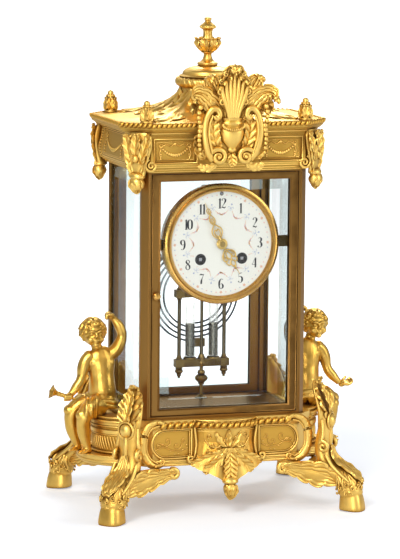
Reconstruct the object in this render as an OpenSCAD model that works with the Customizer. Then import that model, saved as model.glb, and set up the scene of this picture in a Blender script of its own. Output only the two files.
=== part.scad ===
// Four-glass mantel clock on a footed, gilt-cast base, in millimetres.
// The origin lies on the floor under the middle of the clock. The dial faces -Y, +X is the
// viewer's right and +Z is up. Inside the clock, the movement is drawn in its own plane:
// x to the viewer's right, y up from the dial's centre, z towards the viewer.

/* [Case] */
// Width of the glass case over its canted corners
case_w = 154; // [144:1:170]
// Depth of the glass case over its door fronts
case_d = 111; // [106:1:124]
// Height of the glass case from its floor to the cornice
case_h = 219; // [214:1:236]
// Cant on each corner of the case, along one side
cant = 5; // [3:0.5:6]
// Width of a corner post's flat face beside the door
post_face = 3; // [2.5:0.5:4]
// How deep a corner post reaches inwards
post_deep = 9; // [8:0.5:12]
// Thickness of the case's floor plate
floor_t = 2.5; // [2:0.5:4]
// Thickness of the frame plate on top of the posts
top_t = 1.6; // [1.2:0.2:2.4]

/* [Glass] */
// Thickness of the bevelled panels
glass_t = 3; // [2.4:0.2:4]
// Width of the bevel along each edge
bevel_w = 11; // [6:1:13]
// Thickness left at the edge of a bevel
bevel_edge = 1.4; // [1:0.2:2]
// How far a panel's edge sits in its groove
groove = 2; // [1.5:0.5:3]

/* [Doors] */
// Thickness of a door frame
door_t = 6; // [5:0.5:8]
// Width of a door's stiles
stile_w = 8; // [6:0.5:10]
// Height of a door's rails
rail_w = 6.2; // [5:0.2:9]
// Gap between a door and the frame around it
door_gap = 0.6; // [0.4:0.1:1]
// Bevel on the front edges of a door frame
door_edge = 0.8; // [0.7:0.1:1.2]
// Diameter of a hinge pin
hinge_pin_d = 2.2; // [1.8:0.2:2.4]
// Length of a hinge pin beyond the door
hinge_pin_len = 1.3; // [1.1:0.1:1.5]
// Diameter of the latch knob
knob_d = 7; // [5:0.5:9]
// Height of the latch knob above the case floor
knob_up = 109; // [80:1:130]

/* [Base] */
// Height of the base casting's underside above the floor
base_z = 44; // [38:1:50]
// Height of the base casting
base_h = 41.3; // [36:0.1:48]
// How far the base stands out past the case at the sides
base_out_x = 7; // [5:0.5:10]
// How far the base stands out past the case at the front and back
base_out_y = 5; // [4:0.5:8]
// Cant on the base's corners, along one side
base_cant = 16; // [12:1:20]
// Wall of the cast base
base_wall = 5; // [4:0.5:7]
// Height of the roped moulding round the base's top
rope_h = 6; // [5:0.5:8]
// Width of the swelling block in the middle of the front
block_w = 58; // [48:1:66]
// How far that block swells forwards
block_out = 13; // [9:0.5:16]
// How far the acanthus pendant hangs below the base
apron_drop = 31; // [22:1:34]

/* [Feet] */
// Foot centres from the middle, sideways
foot_x = 113; // [108:1:120]
// Foot centres from the middle, front to back
foot_y = 85.5; // [82:0.5:92]
// Half width of a foot's pad
pad_r = 11.5; // [9:0.5:13]
// Height of a foot's pad
pad_h = 28; // [24:1:31]
// Height of the corner leaf's tip above the floor
leaf_top = 117; // [108:1:124]

/* [Seats] */
// Radius of a seat's drum
seat_r = 29; // [25:0.5:32]
// Radius of the step that the figure's feet rest on
step_r = 43; // [39:0.5:48]
// Height of that step
step_h = 9; // [7:0.5:11]
// Height of a seated figure from its seat to the raised hand
putto_h = 92; // [80:1:100]

/* [Cornice] */
// Height of the cornice
cornice_h = 44; // [38:1:50]
// Overhang of the cornice at the sides
over_x = 19; // [14:0.5:22]
// Overhang of the cornice at the front and back
over_y = 12; // [9:0.5:15]
// Cant on the cornice's corners at its widest
cornice_cant = 24; // [18:1:28]
// Wall of the cast cornice and roof
cast_wall = 4; // [3:0.5:6]
// Height of the concave roof
roof_h = 25; // [18:1:32]
// Radius of the roof's neck
neck_r = 25; // [20:1:28]
// Height of the domed cap on the roof
cap_h = 20.5; // [16:0.5:26]
// Radius of the cap's collar
collar_r = 28.7; // [24:0.5:34]
// Height of the urn finial
finial_h = 43.5; // [34:0.5:54]
// Radius of the urn
urn_r = 12; // [9:0.5:15]
// Height of a corner finial on the roof
spike_h = 20; // [14:1:26]

/* [Crest] */
// Height of the crest
crest_h = 88; // [76:1:96]
// Half width of the crest across its side leaves
crest_half = 41; // [34:1:46]

/* [Dial] */
// Depth of the dial's centre below the top of the case
dial_drop = 66.6; // [64:0.2:72]
// Width of the gilt bezel round the visible dial
bezel_w = 7.2; // [6.4:0.2:9]
// How far the bezel's drum reaches back behind the straps
bezel_back = 8; // [5:0.5:11]
// Visible diameter of the enamel dial
dial_d = 94; // [88:0.5:97]
// Thickness of the dial
dial_t = 1.8; // [1.2:0.2:2.4]
// Diameter of the winding holes
wind_hole_d = 9; // [6:0.5:9.5]
// Length of the minute hand from the centre
minute_len = 41; // [34:0.5:43]
// Length of the hour hand from the centre
hour_len = 33; // [26:0.5:36]
// Radius of the hands' round middle
hub_r = 4.4; // [3.4:0.1:5]
// Thickness of a hand
hand_t = 0.7; // [0.5:0.1:1]

/* [Movement] */
// Diameter of the movement plates
plate_d = 88; // [86:0.5:92]
// Thickness of a movement plate
plate_t = 2; // [1.6:0.2:2.6]
// Distance between the two plates
plate_gap = 28; // [26:0.5:32]
// Half distance between the two winding squares
barrel_x = 19.5; // [19.2:0.1:20.5]
// Depth of the winding squares below the dial's centre
barrel_y = 13.7; // [12.5:0.1:14.5]
// Outer radius of a spring barrel
drum_r = 16.6; // [15:0.1:16.8]
// Wall of a spring barrel
drum_wall = 1.6; // [1.2:0.2:2.2]
// Side of a winding square
square_w = 3.2; // [2.6:0.2:3.6]
// Radius of the barrel arbors
big_arbor_r = 2.4; // [2.2:0.1:3]
// Radius of the other arbors
arbor_r = 0.8; // [0.6:0.1:1]

/* [Train] */
// Teeth on each barrel
barrel_teeth = 80; // [76:1:80]
// Leaves on the pinions that the barrels drive
barrel_leaves = 12; // [11:1:13]
// Tooth module of the barrels
barrel_module = 0.46; // [0.44:0.01:0.47]
// Teeth on the second wheel
second_teeth = 72; // [66:1:76]
// Tooth module of the second wheel
second_module = 0.4; // [0.36:0.01:0.42]
// Teeth on the centre wheel
centre_teeth = 80; // [72:1:84]
// Tooth module of the centre wheel
centre_module = 0.35; // [0.33:0.01:0.36]
// Teeth on the third wheel
third_teeth = 75; // [70:1:76]
// Tooth module of the third wheel
third_module = 0.3; // [0.28:0.01:0.3]
// Teeth on the escape wheel
escape_teeth = 30; // [24:1:32]
// Radius of the escape wheel
escape_r = 9.6; // [8.5:0.1:10]
// Leaves on the centre, third and escape pinions
leaves = 10; // [10:1:11]
// Leaves on the cannon pinion, with three times as many teeth on the minute wheel
cannon_leaves = 12; // [12:1:13]
// Tooth module of the cannon pinion
cannon_module = 0.37; // [0.34:0.01:0.4]
// Leaves on the minute wheel's pinion, with four times as many teeth on the hour wheel
motion_leaves = 10; // [10:1:11]
// Teeth on the striking pin wheel
strike_teeth = 60; // [56:1:64]
// Tooth module of the striking pin wheel
strike_module = 0.38; // [0.34:0.01:0.4]
// Thickness of the wheels
wheel_t = 1.1; // [0.8:0.1:1.3]

/* [Pendulum] */
// Distance of the pendulum's plane behind the middle of the case
pendulum_back = 10; // [8:0.5:12]
// Gap under the rating nut's rod, down to the case floor
pendulum_clear = 7; // [4:0.5:12]
// Half width between the pendulum's two columns
column_x = 21.5; // [18:0.5:25]
// Height of the pendulum's lower yoke above its rod's end
yoke_up = 26; // [22:1:30]
// Height between the two yokes
column_h = 56; // [48:1:62]
// Outer radius of a mercury jar
jar_r = 5; // [4.4:0.1:6]
// Height of the pendulum's two yokes
yoke_h = 7; // [4:0.5:8]
// Height of the mercury in a jar
mercury_h = 30; // [20:1:38]

/* [Gong] */
// Outer radius of the coiled gong
gong_r = 44; // [40:0.5:46]
// Turns of the gong
gong_turns = 4; // [3:1:5]
// Pitch between the gong's turns
gong_pitch = 4.2; // [3.6:0.1:4.4]
// Thickness of the gong's wire
gong_wire = 1.8; // [1.4:0.1:2.2]
// Distance of the gong behind the middle of the case
gong_back = 30; // [27:0.5:33]
// Height of the gong's centre above the case floor
gong_up = 97; // [92:1:100]

/* [Fits] */
// Radial clearance of a running fit
run_fit = 0.05; // [0.03:0.01:0.09]
// Clearance between a moving piece and a fixed one beside it
air = 0.5; // [0.4:0.1:0.6]
// Clearance of a panel or plate in its seat
seat_fit = 0.1; // [0.05:0.05:0.2]

/* [Hidden] */
$fn = 64;

gilt = "#c99a3c";
brass = "#8a6a2c";
light_brass = "#b08d45";
steel = "#55585c";

// Heights of the main parts
floor_z = base_z + base_h;
case_z = floor_z + floor_t;
top_z = case_z + case_h;
cornice_z = top_z + cornice_h;
roof_z = cornice_z + roof_h;
cap_z = roof_z + cap_h;
dial_z = top_z - dial_drop;

// Half sizes in plan
half_w = case_w / 2;
half_d = case_d / 2;
base_hw = half_w + base_out_x;
base_hd = half_d + base_out_y;

// Doors and side glass
door_hw = half_w - cant - post_face - door_gap;
door_low = case_z + door_gap;
door_high = top_z - top_t - door_gap;
door_in = half_d - door_t;
hinge_x = door_hw - 2.4;
hinge_y = half_d - 2;
groove_x = half_w - 1.2;
side_glass_y = half_d - post_deep + groove;
knob_x = door_hw - stile_w / 2;
knob_z = case_z + knob_up;

// The movement from front to back, as distances towards the viewer
dial_front = half_d - door_t - 5.2;
plate_front = dial_front - dial_t - 6.5;
gap_front = plate_front - plate_t;
gap_back = gap_front - plate_gap;
plate_back = gap_back - plate_t;
strap_t = 2.4;
strap_h = 10;
strap_front = plate_front + strap_t;
bezel_r = dial_d / 2 + bezel_w;
plate_r = plate_d / 2;

// A point at distance r1 from a and r2 from b, on the side that side picks
function meet(a, r1, b, r2, side) = let(ab = b - a, d = norm(ab), u = ab / d,
    along = (r1 * r1 - r2 * r2 + d * d) / (2 * d), up = sqrt(r1 * r1 - along * along))
    a + along * u + side * up * [-u.y, u.x];
function angle_to(a, b) = atan2(b.y - a.y, b.x - a.x);
function mesh_gap(module_mm, teeth_a, teeth_b) = module_mm * (teeth_a + teeth_b) / 2;

// Arbor places in the movement's plane
centre_at = [0, 0];
going_at = [barrel_x, -barrel_y];
strike_at = [-barrel_x, -barrel_y];
second_at = meet(going_at, mesh_gap(barrel_module, barrel_teeth, barrel_leaves),
    centre_at, mesh_gap(second_module, second_teeth, leaves), -1);
third_at = mesh_gap(centre_module, centre_teeth, leaves) * [cos(125), sin(125)];
escape_reach = mesh_gap(third_module, third_teeth, leaves);
escape_at = [0, third_at.y + sqrt(escape_reach * escape_reach - third_at.x * third_at.x)];
pivot_at = [0, escape_at.y + escape_r + 5.4];
regulator_at = [0, dial_d / 2 - 2];
pin_reach = mesh_gap(barrel_module, barrel_teeth, barrel_leaves);
pin_at = strike_at + pin_reach * [cos(-50), sin(-50)];
fly_at = pin_at + mesh_gap(strike_module, strike_teeth, leaves) * [cos(-12), sin(-12)];
motion_reach = cannon_module * cannon_leaves * 2;
motion_at = motion_reach * [cos(225), sin(225)];
motion_module = 2 * motion_reach / (5 * motion_leaves);

// Levels between the plates, measured back from the front plate
great_z = gap_front - 4;
rear_wheel_z = gap_back + 2.7;
centre_wheel_z = gap_back + 0.7;
third_z = gap_back + 14;
escape_z = gap_back + 19;
drum_back = rear_wheel_z + wheel_t + 1.9;
drum_front = great_z - air;

// Pendulum, gong and hammer
pend_z = -pendulum_back;
swing_low = case_z + pendulum_clear - dial_z;
yoke_y = swing_low + yoke_up;
shaft_h = column_h + 1;
upper_yoke_y = yoke_y + yoke_h + shaft_h;
gong_y = case_z + gong_up - dial_z;
gong_z = -gong_back;
hammer_dir = [-sin(45), cos(45)];
hammer_head = [0, gong_y] + (gong_r + gong_wire / 2 + 4.4) * hammer_dir;
hammer_at = hammer_head + 28 * [cos(45), sin(45)];

// Hands at four minutes to five
minute_angle = 90 - 336;
hour_angle = 90 - 148;

function mix(a, b, t) = a + (b - a) * t;
function unit(v) = v / max(norm(v), 0.000001);
function xyz(s) = [s[0], s[1], s[2]];

// Catmull-Rom curve through a list of stations
function nth(p, i) = p[max(0, min(len(p) - 1, i))];
function between(a, b, c, d, t) = 0.5 * (2 * b + (c - a) * t
    + (2 * a - 5 * b + 4 * c - d) * t * t + (3 * b - a - 3 * c + d) * t * t * t);
function smooth(p, steps) = [for (i = [0:len(p) - 2], k = [0:steps - 1])
    between(nth(p, i - 1), p[i], p[i + 1], nth(p, i + 2), k / steps), p[len(p) - 1]];

// Closed skin over rings of points that run anticlockwise seen from the last ring
module skin(rings) {
    n = len(rings[0]);
    m = len(rings);
    polyhedron(points = [for (r = rings) each r],
        faces = concat([[for (k = [0:n - 1]) k]],
            [[for (k = [n - 1:-1:0]) (m - 1) * n + k]],
            [for (j = [0:m - 2], k = [0:n - 1]) [j * n + k, (j + 1) * n + k, (j + 1) * n + (k + 1) % n]],
            [for (j = [0:m - 2], k = [0:n - 1])
                [j * n + k, (j + 1) * n + (k + 1) % n, j * n + (k + 1) % n]]));
}

// Rounded form along a curve of stations [x, y, z, half width, half thickness]
module loft(stations, side = [1, 0, 0], sides = 6, steps = 2) {
    p = smooth(stations, steps);
    skin([for (i = [0:len(p) - 1])
        let(run = unit(xyz(nth(p, i + 1)) - xyz(nth(p, i - 1))),
            across = unit(side - (side * run) * run), out = cross(run, across))
        [for (k = [0:sides - 1]) xyz(p[i]) + across * max(p[i][3], 0.3) * cos(360 * k / sides)
            + out * max(p[i][4], 0.3) * sin(360 * k / sides)]]);
}

// Round bar along the same kind of curve, stations [x, y, z, radius]
module limb(stations, side = [1, 0, 0], sides = 6, steps = 2) {
    loft([for (s = stations) [s[0], s[1], s[2], s[3], s[3]]], side, sides, steps);
}

module blob(at, size, sides = 8) {
    translate(at) scale(size) sphere(r = 1, $fn = sides);
}

// Spiral stations in the x-z plane, from radius r1 to r0 round a centre
function scroll(at, r1, r0, start, turn, w, t) = [for (k = [0:12])
    let(a = start + turn * k / 12, r = mix(r1, r0, k / 12), s = mix(1, 0.7, k / 12))
    [at.x + r * cos(a), at.y, at.z + r * sin(a), t * s, w * s]];

// Plan of a rectangle with canted corners, anticlockwise from above
function canted(hw, hd, c) = [[-hw + c, -hd], [hw - c, -hd], [hw, -hd + c], [hw, hd - c],
    [hw - c, hd], [-hw + c, hd], [-hw, hd - c], [-hw, -hd + c]];
function lifted(plan, z) = [for (p = plan) [p.x, p.y, z]];

// Keeps what lies between two heights
module between_heights(z0, z1) {
    intersection() {
        union() children();
        translate([-200, -200, z0]) cube([400, 400, z1 - z0]);
    }
}
module both_sides() {
    children();
    mirror([1, 0, 0]) children();
}
module four_corners() {
    both_sides() {
        children();
        mirror([0, 1, 0]) children();
    }
}
// From the movement's plane to the clock
module in_movement() {
    translate([0, 0, dial_z]) rotate([90, 0, 0]) children();
}
module disc(r, z0, z1, at = [0, 0]) {
    translate([at.x, at.y, z0]) cylinder(r = r, h = z1 - z0);
}

// Wheel teeth: radial flanks under the pitch circle and rounded points above it
function tooth(r, share, rise, sink, a, pitch) = let(half = pitch * share / 2) [
    [r - sink, a - half * 1.02], [r + rise * 0.25, a - half * 0.9], [r + rise, a - half * 0.2],
    [r + rise, a + half * 0.2], [r + rise * 0.25, a + half * 0.9], [r - sink, a + half * 1.02]];
module toothed(teeth, m, share, rise, sink, toward) {
    pitch = 360 / teeth;
    polygon([for (i = [0:teeth - 1], p = tooth(teeth * m / 2, share, rise * m, sink * m,
        toward + i * pitch, pitch)) p[0] * [cos(p[1]), sin(p[1])]]);
}
// A wheel with a tooth towards its pinion, crossed out into spokes
module wheel(teeth, m, toward, bore_r, spokes = 4, t = wheel_t) {
    rim = teeth * m / 2 - 2.6 * m - 1;
    hub = bore_r + 1.8;
    linear_extrude(t) difference() {
        toothed(teeth, m, 0.46, 1.15, 1.35, toward);
        circle(r = bore_r, $fn = 48);
        if (spokes > 0)
            for (i = [0:spokes - 1])
                rotate(i * 360 / spokes)
                    difference() {
                        intersection() {
                            circle(r = rim);
                            polygon([[0, 0], 2 * rim * [cos(8), sin(8)],
                                2 * rim * [cos(360 / spokes - 8), sin(360 / spokes - 8)]]);
                        }
                        circle(r = hub + 0.8);
                    }
    }
}
// A pinion with a gap towards its wheel
module pinion(n, m, toward, h) {
    linear_extrude(h) toothed(n, m, 0.36, 0.75, 1.75, toward + 180 / n);
}
// A plain arbor between the plates, ending in two thinner pivots
module arbor(at, from = gap_back, to = gap_front) {
    disc(arbor_r, from + air, to - air, at);
    disc(arbor_r / 2, from - plate_t + 0.2, to + plate_t - 0.2, at);
}

// Base

module base_form(z0, z1) {
    top = rope_h / base_h;
    skin([for (s = [[0, 2], [0.1, 2], [0.16, 0], [0.94 - top, 0], [1 - top, 1.4], [1, 1.4]])
        lifted(canted(base_hw + s[1], base_hd + s[1], base_cant), mix(z0, z1, s[0]))]);
}
function block_plan(w, out) = [for (k = [0:10]) let(t = k / 10)
    [mix(-w / 2, w / 2, t), -base_hd - out * pow(sin(180 * t), 0.7)],
    [w / 2, -base_hd + base_wall], [-w / 2, -base_hd + base_wall]];
module front_block() {
    skin([for (s = [[0, 1.16, 1], [0.1, 1.14, 0.95], [0.2, 0.98, 0.75], [0.5, 0.9, 0.66], [0.8, 0.94, 0.8],
        [0.87, 1, 1], [0.98, 1, 1], [1, 0.99, 0.96]])
        lifted(block_plan(block_w * s[1], block_out * s[2]), mix(base_z, floor_z, s[0]))]);
}
// Sunk panels beside the block, round at their outer ends
panel_r = base_h * 0.3;
panel_in = base_hw - base_cant - panel_r - block_w / 2 - 4;
module base_casting() {
    color(gilt) union() {
        difference() {
            base_form(base_z, floor_z);
            skin([for (z = [base_z - 1, floor_z - base_wall])
                lifted(canted(base_hw - base_wall, base_hd - base_wall, base_cant), z)]);
            for (s = [-1, 1], e = [-1, 1])
                translate([s * (base_hw - base_cant - panel_r), e * base_hd, base_z + base_h * 0.48])
                    rotate([90, 0, 0]) {
                        cylinder(r = panel_r, h = 2.4, center = true);
                        translate([s > 0 ? -panel_in : 0, -panel_r, -1.2]) cube([panel_in, 2 * panel_r, 2.4]);
                    }
        }
        front_block();
    }
}
// Front face of the apron at a height, following the block's swelling, and its back
function apron_ring(z, half, lift, t) = let(n = 10, w = block_w * 0.6,
    face = [for (k = [0:n]) let(x = mix(-half, half, k / n))
        [x, -base_hd - block_out * pow(max(0.02, cos(90 * x / w)), 0.7) - lift, z]])
    concat(face, [for (k = [n:-1:0]) face[k] + [0, t, 0]]);
module apron_leaf() {
    front = -base_hd - block_out * 0.9;
    color(gilt) resize([0, 0, apron_drop + 13]) difference() {
        between_heights(base_z - apron_drop, base_z + 13) {
            skin([apron_ring(base_z - 16, 5, 1, 6), apron_ring(base_z - 13, 7, 2, 7),
                apron_ring(base_z - 9, 14, 1.6, 7.4), apron_ring(base_z - 4, 24, 0.4, 7),
                apron_ring(base_z + 2.6, 30, -0.6, 6), apron_ring(base_z + 7, 27, -1, 5),
                apron_ring(base_z + 14, 8, -2, 4)]);
            loft([[0, front + 3, base_z + 13.5, 5, 3], [0, front - 1.4, base_z + 4, 8, 4],
                [0, front - 2.6, base_z - 5, 8, 4.5], [0, front - 2.4, base_z - 13, 5, 4],
                [0, front - 1.6, base_z - 16, 5, 4.4], [0, front - 1.4, base_z - 19, 7.2, 6],
                [0, front - 1.4, base_z - 25, 5.6, 5], [0, front - 1.4, base_z - apron_drop - 0.5, 1.2, 1.2]],
                sides = 8);
        }
        front_block();
        base_form(base_z, floor_z);
    }
}

// One foot at the front left; the others are its mirror images
function foot_at(r, z, w, t) = let(u = unit([foot_x - half_w, foot_y - half_d]))
    [-half_w - u.x * r, -half_d - u.y * r, z, w, t];
module corner_foot() {
    across = [foot_y - half_d, half_w - foot_x, 0];
    reach = norm([foot_x - half_w, foot_y - half_d]);
    color(gilt) resize([0, 0, leaf_top]) difference() {
        between_heights(0, leaf_top) {
            // Hoof, tuft and leg
            loft([foot_at(reach, 0, pad_r, pad_r),
                foot_at(reach - 0.4, pad_h * 0.28, pad_r * 0.95, pad_r * 0.95),
                foot_at(reach - 1.4, pad_h * 0.5, pad_r * 0.86, pad_r * 0.86),
                foot_at(reach - 3, pad_h * 0.62, pad_r * 0.5, pad_r * 0.5)], across, 10, 1);
            loft([foot_at(reach - 1.4, pad_h * 0.45, pad_r * 0.8, pad_r * 0.8),
                foot_at(reach - 2.4, pad_h * 0.68, pad_r * 1.04, pad_r * 0.96),
                foot_at(reach - 5, pad_h * 0.94, pad_r * 1.02, pad_r * 0.9),
                foot_at(reach - 12, pad_h + 4, pad_r * 0.94, pad_r * 0.78),
                foot_at(27, base_z - 7, 12, 8.4), foot_at(20, base_z + 1, 12.4, 8),
                foot_at(18, base_z + base_h * 0.3, 11.4, 7), foot_at(19.4, base_z + base_h * 0.6, 10.4, 6.4),
                foot_at(20.4, base_z + base_h * 0.86, 9.6, 5.6), foot_at(18, floor_z + 4, 7, 4)], across, 8);
            // Corner leaf and boss
            loft([foot_at(19, base_z + base_h * 0.7, 8, 3), foot_at(20, base_z + base_h * 0.96, 12, 4),
                foot_at(17, mix(floor_z, leaf_top, 0.34), 12.6, 3.8),
                foot_at(13, mix(floor_z, leaf_top, 0.66), 9.4, 3), foot_at(10.6, leaf_top - 4, 5, 2.4),
                foot_at(11.4, leaf_top + 1, 1.6, 1.4)], across);
            blob(xyz(foot_at(25, base_z + base_h * 0.86, 0, 0)), [6, 6, 6]);
            // Wing leaves under the front and under the side
            loft([[-half_w - 15, -base_hd - 11, pad_h + 5, 9, 7],
                [-half_w - 3, -base_hd - 9.4, pad_h + 8, 8.6, 5.6],
                [-half_w + 8, -base_hd - 7.6, pad_h + 10.4, 7, 4.4],
                [-half_w + 17, -base_hd - 5.6, base_z - 5, 5.4, 3.4],
                [-half_w + 25, -base_hd - 4, base_z - 6, 4, 2.8],
                [-half_w + 30, -base_hd - 3.4, base_z - 8.4, 2, 2.4]],
                [0, 0, 1]);
            loft([[-base_hw - 12, -half_d - 11, pad_h + 6, 8.6, 7],
                [-base_hw - 10, -half_d + 1, pad_h + 9, 7, 5],
                [-base_hw - 8, -half_d + 12, base_z - 6, 5.2, 3.8],
                [-base_hw - 6.4, -half_d + 21, base_z - 8.6, 2.8, 2.8]], [0, 0, 1]);
        }
        translate([0, 0, base_z - 1]) linear_extrude(base_h + floor_t + 1)
            polygon(canted(base_hw + 2, base_hd + 2, base_cant));
        translate([0, 0, case_z]) linear_extrude(case_h)
            polygon(canted(half_w + air, half_d + air, cant));
        translate([-seat_x, 0, base_z - 3 - air]) cylinder(r = step_r + air, h = base_h);
    }
}
module foot_front_left() { corner_foot(); }
module foot_front_right() { mirror([1, 0, 0]) corner_foot(); }
module foot_rear_left() { mirror([0, 1, 0]) corner_foot(); }
module foot_rear_right() { mirror([1, 0, 0]) mirror([0, 1, 0]) corner_foot(); }

// Half-round seat with a stepped foot, on each side of the base
seat_x = half_w - 1;
seat_z = floor_z - 2;
step_z = base_z - 3 + step_h;
module seat() {
    difference() {
        translate([seat_x, 0, 0]) rotate_extrude()
            polygon([[0, base_z - 3], [step_r - 3, base_z - 3], [step_r - 1, base_z - 1],
                [step_r - 1, base_z + 1], [step_r, base_z + 2], [step_r, step_z - 1],
                [step_r - 1, step_z], [seat_r + 2, step_z], [seat_r, step_z + 2],
                [seat_r, seat_z - 16], [seat_r + 1.6, seat_z - 15], [seat_r + 1.6, seat_z - 12],
                [seat_r + 0.4, seat_z - 11], [seat_r + 0.4, seat_z - 9], [seat_r + 2.4, seat_z - 7],
                [seat_r + 2.4, seat_z - 4], [seat_r + 1, seat_z - 3], [seat_r + 1, seat_z - 1],
                [seat_r, seat_z], [0, seat_z]]);
        translate([0, 0, base_z]) cube([2 * (base_hw + 2), 200, 200], center = true);
    }
}
module seats() {
    color(gilt) both_sides() seat();
}

// A seated child figure, its chest to the front, one arm raised beside the case.
// Places are measured from the middle of its seat, with +x away from the clock.
module putto(torch) {
    drop = seat_z - step_z;
    resize([0, 0, putto_h + drop]) difference() {
        between_heights(-drop, putto_h) {
            blob([9, -3, 73], [10.6, 11.2, 12], 12);
            blob([8, 1, 77], [11.4, 10.8, 9.6], 10);
            limb([[5, 0, 66, 4.6], [4, 0, 60, 5]]);
            loft([[0, 0, 7, 11, 10], [0, 0, 14, 12.4, 10.6], [1, -1, 26, 11.6, 9.6], [1, -1, 40, 12, 9],
                [2, 0, 52, 13.4, 8.6], [3, 0, 59, 10, 6.6], [4, 0, 62, 4, 4]], sides = 10);
            limb([[-9, 0, 54, 5.4], [-15, -1, 60, 4.9], [-19.5, -2, 69, 4.2], [-19, -3, 74, 4],
                [-12, -3, 81, 3.5], [-6, -2, 86.5, 2.8], [-3, -2, 91, 3]]);
            limb([[12, 0, 52, 5.4], [17.4, -1, 46, 5], [20, -2, 36, 4.4], [22, -3, 29, 4],
                [27, -4, 23, 3.4], [32, -5, 18.5, 2.7]]);
            blob([34, -5, 17.6], [4.6, 2.4, 3]);
            loft([[2, -5, 8, 8.4, 8.4], [12, -9, 8.4, 7.8, 8], [20, -12, 1, 6.8, 6.8],
                [21, -12, -8, 5.6, 5.4],
                [19, -12, -20, 5, 5], [17, -12, -29, 3.4, 3.4], [20, -13, -33.4, 3.4, 2.6],
                [26, -15, -34.4, 3, 1.6]], [0, 1, 0], 8);
            loft([[2, 5, 8, 8.4, 8.4], [14, 5, 9, 7.8, 8], [26, 4, 2, 6.8, 6.8], [28, 4, -8, 5.6, 5.4],
                [24, 3, -20, 5, 5], [21, 2, -29, 3.4, 3.4], [24, 2, -33.4, 3.4, 2.6],
                [30, 1, -34.4, 3, 1.6]], [0, 1, 0], 8);
            loft([[-9, -8, 6, 5, 5], [-2, -12, 10, 6, 6], [10, -16, 12, 7, 5], [19, -18, 5, 6, 4],
                [23, -19, -6, 5, 2.6], [22, -18, -14, 3, 2]], [0, 0, 1]);
            if (torch) {
                limb([[36, -5, 18, 1.8], [42, -6, 18.4, 2.6], [46, -6, 19.6, 4], [49.5, -6, 21, 3.2],
                    [51, -6, 22, 1]], [0, 1, 0]);
                blob([47, -6, 24], [4, 4, 4.6]);
            } else {
                loft([[36, -5, 18, 2.6, 1.4], [42, -6, 19, 2.4, 1], [47, -6, 21, 0.8, 0.6]], [0, 1, 0]);
            }
        }
        translate([-60, -60, -60]) cube([60, 120, 60]);
        translate([seat_x - half_w - 20, 0, -60]) cylinder(r = seat_r + 2.8, h = 60);
        translate([-20 - 30 - air, 0, 0]) cube([60, 120, 300], center = true);
    }
}
module putto_left() {
    color(gilt) translate([-half_w - 20, 0, seat_z]) mirror([1, 0, 0]) putto(true);
}
module putto_right() {
    color(gilt) translate([half_w + 20, 0, seat_z]) putto(false);
}

// Glass case

module case_floor() {
    color(brass) difference() {
        translate([0, 0, floor_z]) linear_extrude(floor_t) polygon(canted(half_w, half_d, cant));
        hinge_holes(floor_z + floor_t);
    }
}
module top_frame() {
    color(brass) difference() {
        translate([0, 0, top_z - top_t]) linear_extrude(top_t) difference() {
            polygon(canted(half_w, half_d, cant));
            square([2 * (half_w - 16), 2 * (half_d - 14)], center = true);
        }
        hinge_holes(top_z - top_t);
    }
}
// Blind holes for the door pins; the front door turns on the right, the rear one mirrored
module hinge_holes(z) {
    for (s = [1, -1])
        translate([s * hinge_x, -s * hinge_y, z - hinge_pin_len - 0.2 * door_gap])
            cylinder(d = hinge_pin_d + 2 * run_fit, h = 2 * (hinge_pin_len + 0.2 * door_gap));
}
module corner_posts() {
    x = half_w;
    y = half_d;
    color(brass) difference() {
        four_corners() translate([0, 0, case_z]) linear_extrude(case_h - top_t) difference() {
            polygon([[-x, -y + cant], [-x + cant, -y], [-x + cant + post_face, -y],
                [-x + cant + post_face, -y + post_deep], [-x, -y + post_deep]]);
            translate([-groove_x, -side_glass_y - seat_fit])
                square([glass_t + 2 * seat_fit, post_deep]);
        }
        // Slots that the latch tongues turn into
        for (a = [0, 180]) rotate(a)
            translate([-x + cant + post_face - 2.4, -door_in - 0.2, knob_z - 2.2])
                cube([2.5, post_deep - door_t + 0.3, 7.4]);
    }
}
// A panel that stands in the x-z plane, its bevelled face at y = 0 and facing -y
module bevelled(w, h) {
    ring = [[-w / 2, 0], [w / 2, 0], [w / 2, h], [-w / 2, h]];
    inner = [for (p = ring) [p.x - sign(p.x) * bevel_w, p.y == 0 ? bevel_w : h - bevel_w]];
    skin([[for (p = ring) [p.x, glass_t, p.y]], [for (p = ring) [p.x, glass_t - bevel_edge, p.y]],
        [for (p = inner) [p.x, 0, p.y]]]);
}
module side_glass_left() {
    color("#cfe0d8", 0.4) translate([-groove_x + seat_fit, 0, case_z + seat_fit]) rotate(-90)
        bevelled(2 * side_glass_y, case_h - top_t - 2 * seat_fit);
}
module side_glass_right() { rotate(180) side_glass_left(); }

// Doors. The front door is drawn in place, and the rear one is the same, turned round.

door_h = door_high - door_low;
glass_y = -half_d + 1.5;
module door_frame() {
    color(brass) difference() {
        union() {
            translate([0, 0, door_low]) linear_extrude(door_h)
                polygon([[-door_hw, -door_in], [-door_hw, door_edge - half_d], [door_edge - door_hw, -half_d],
                    [door_hw - door_edge, -half_d], [door_hw, door_edge - half_d], [door_hw, -door_in]]);
            translate([hinge_x, -hinge_y, door_low - hinge_pin_len])
                cylinder(d = hinge_pin_d, h = door_h + 2 * hinge_pin_len);
        }
        translate([-door_hw + stile_w, -half_d - 1, door_low + rail_w])
            cube([2 * (door_hw - stile_w), door_t + 2, door_h - 2 * rail_w]);
        translate([-door_hw + stile_w - groove, glass_y, door_low + rail_w - groove])
            cube([2 * (door_hw - stile_w + groove), glass_t + 2 * seat_fit,
                door_h - 2 * rail_w + 2 * groove]);
        translate([-knob_x, 0, knob_z]) rotate([90, 0, 0]) cylinder(r = 1.2 + run_fit, h = 2 * half_d);
    }
}
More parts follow.
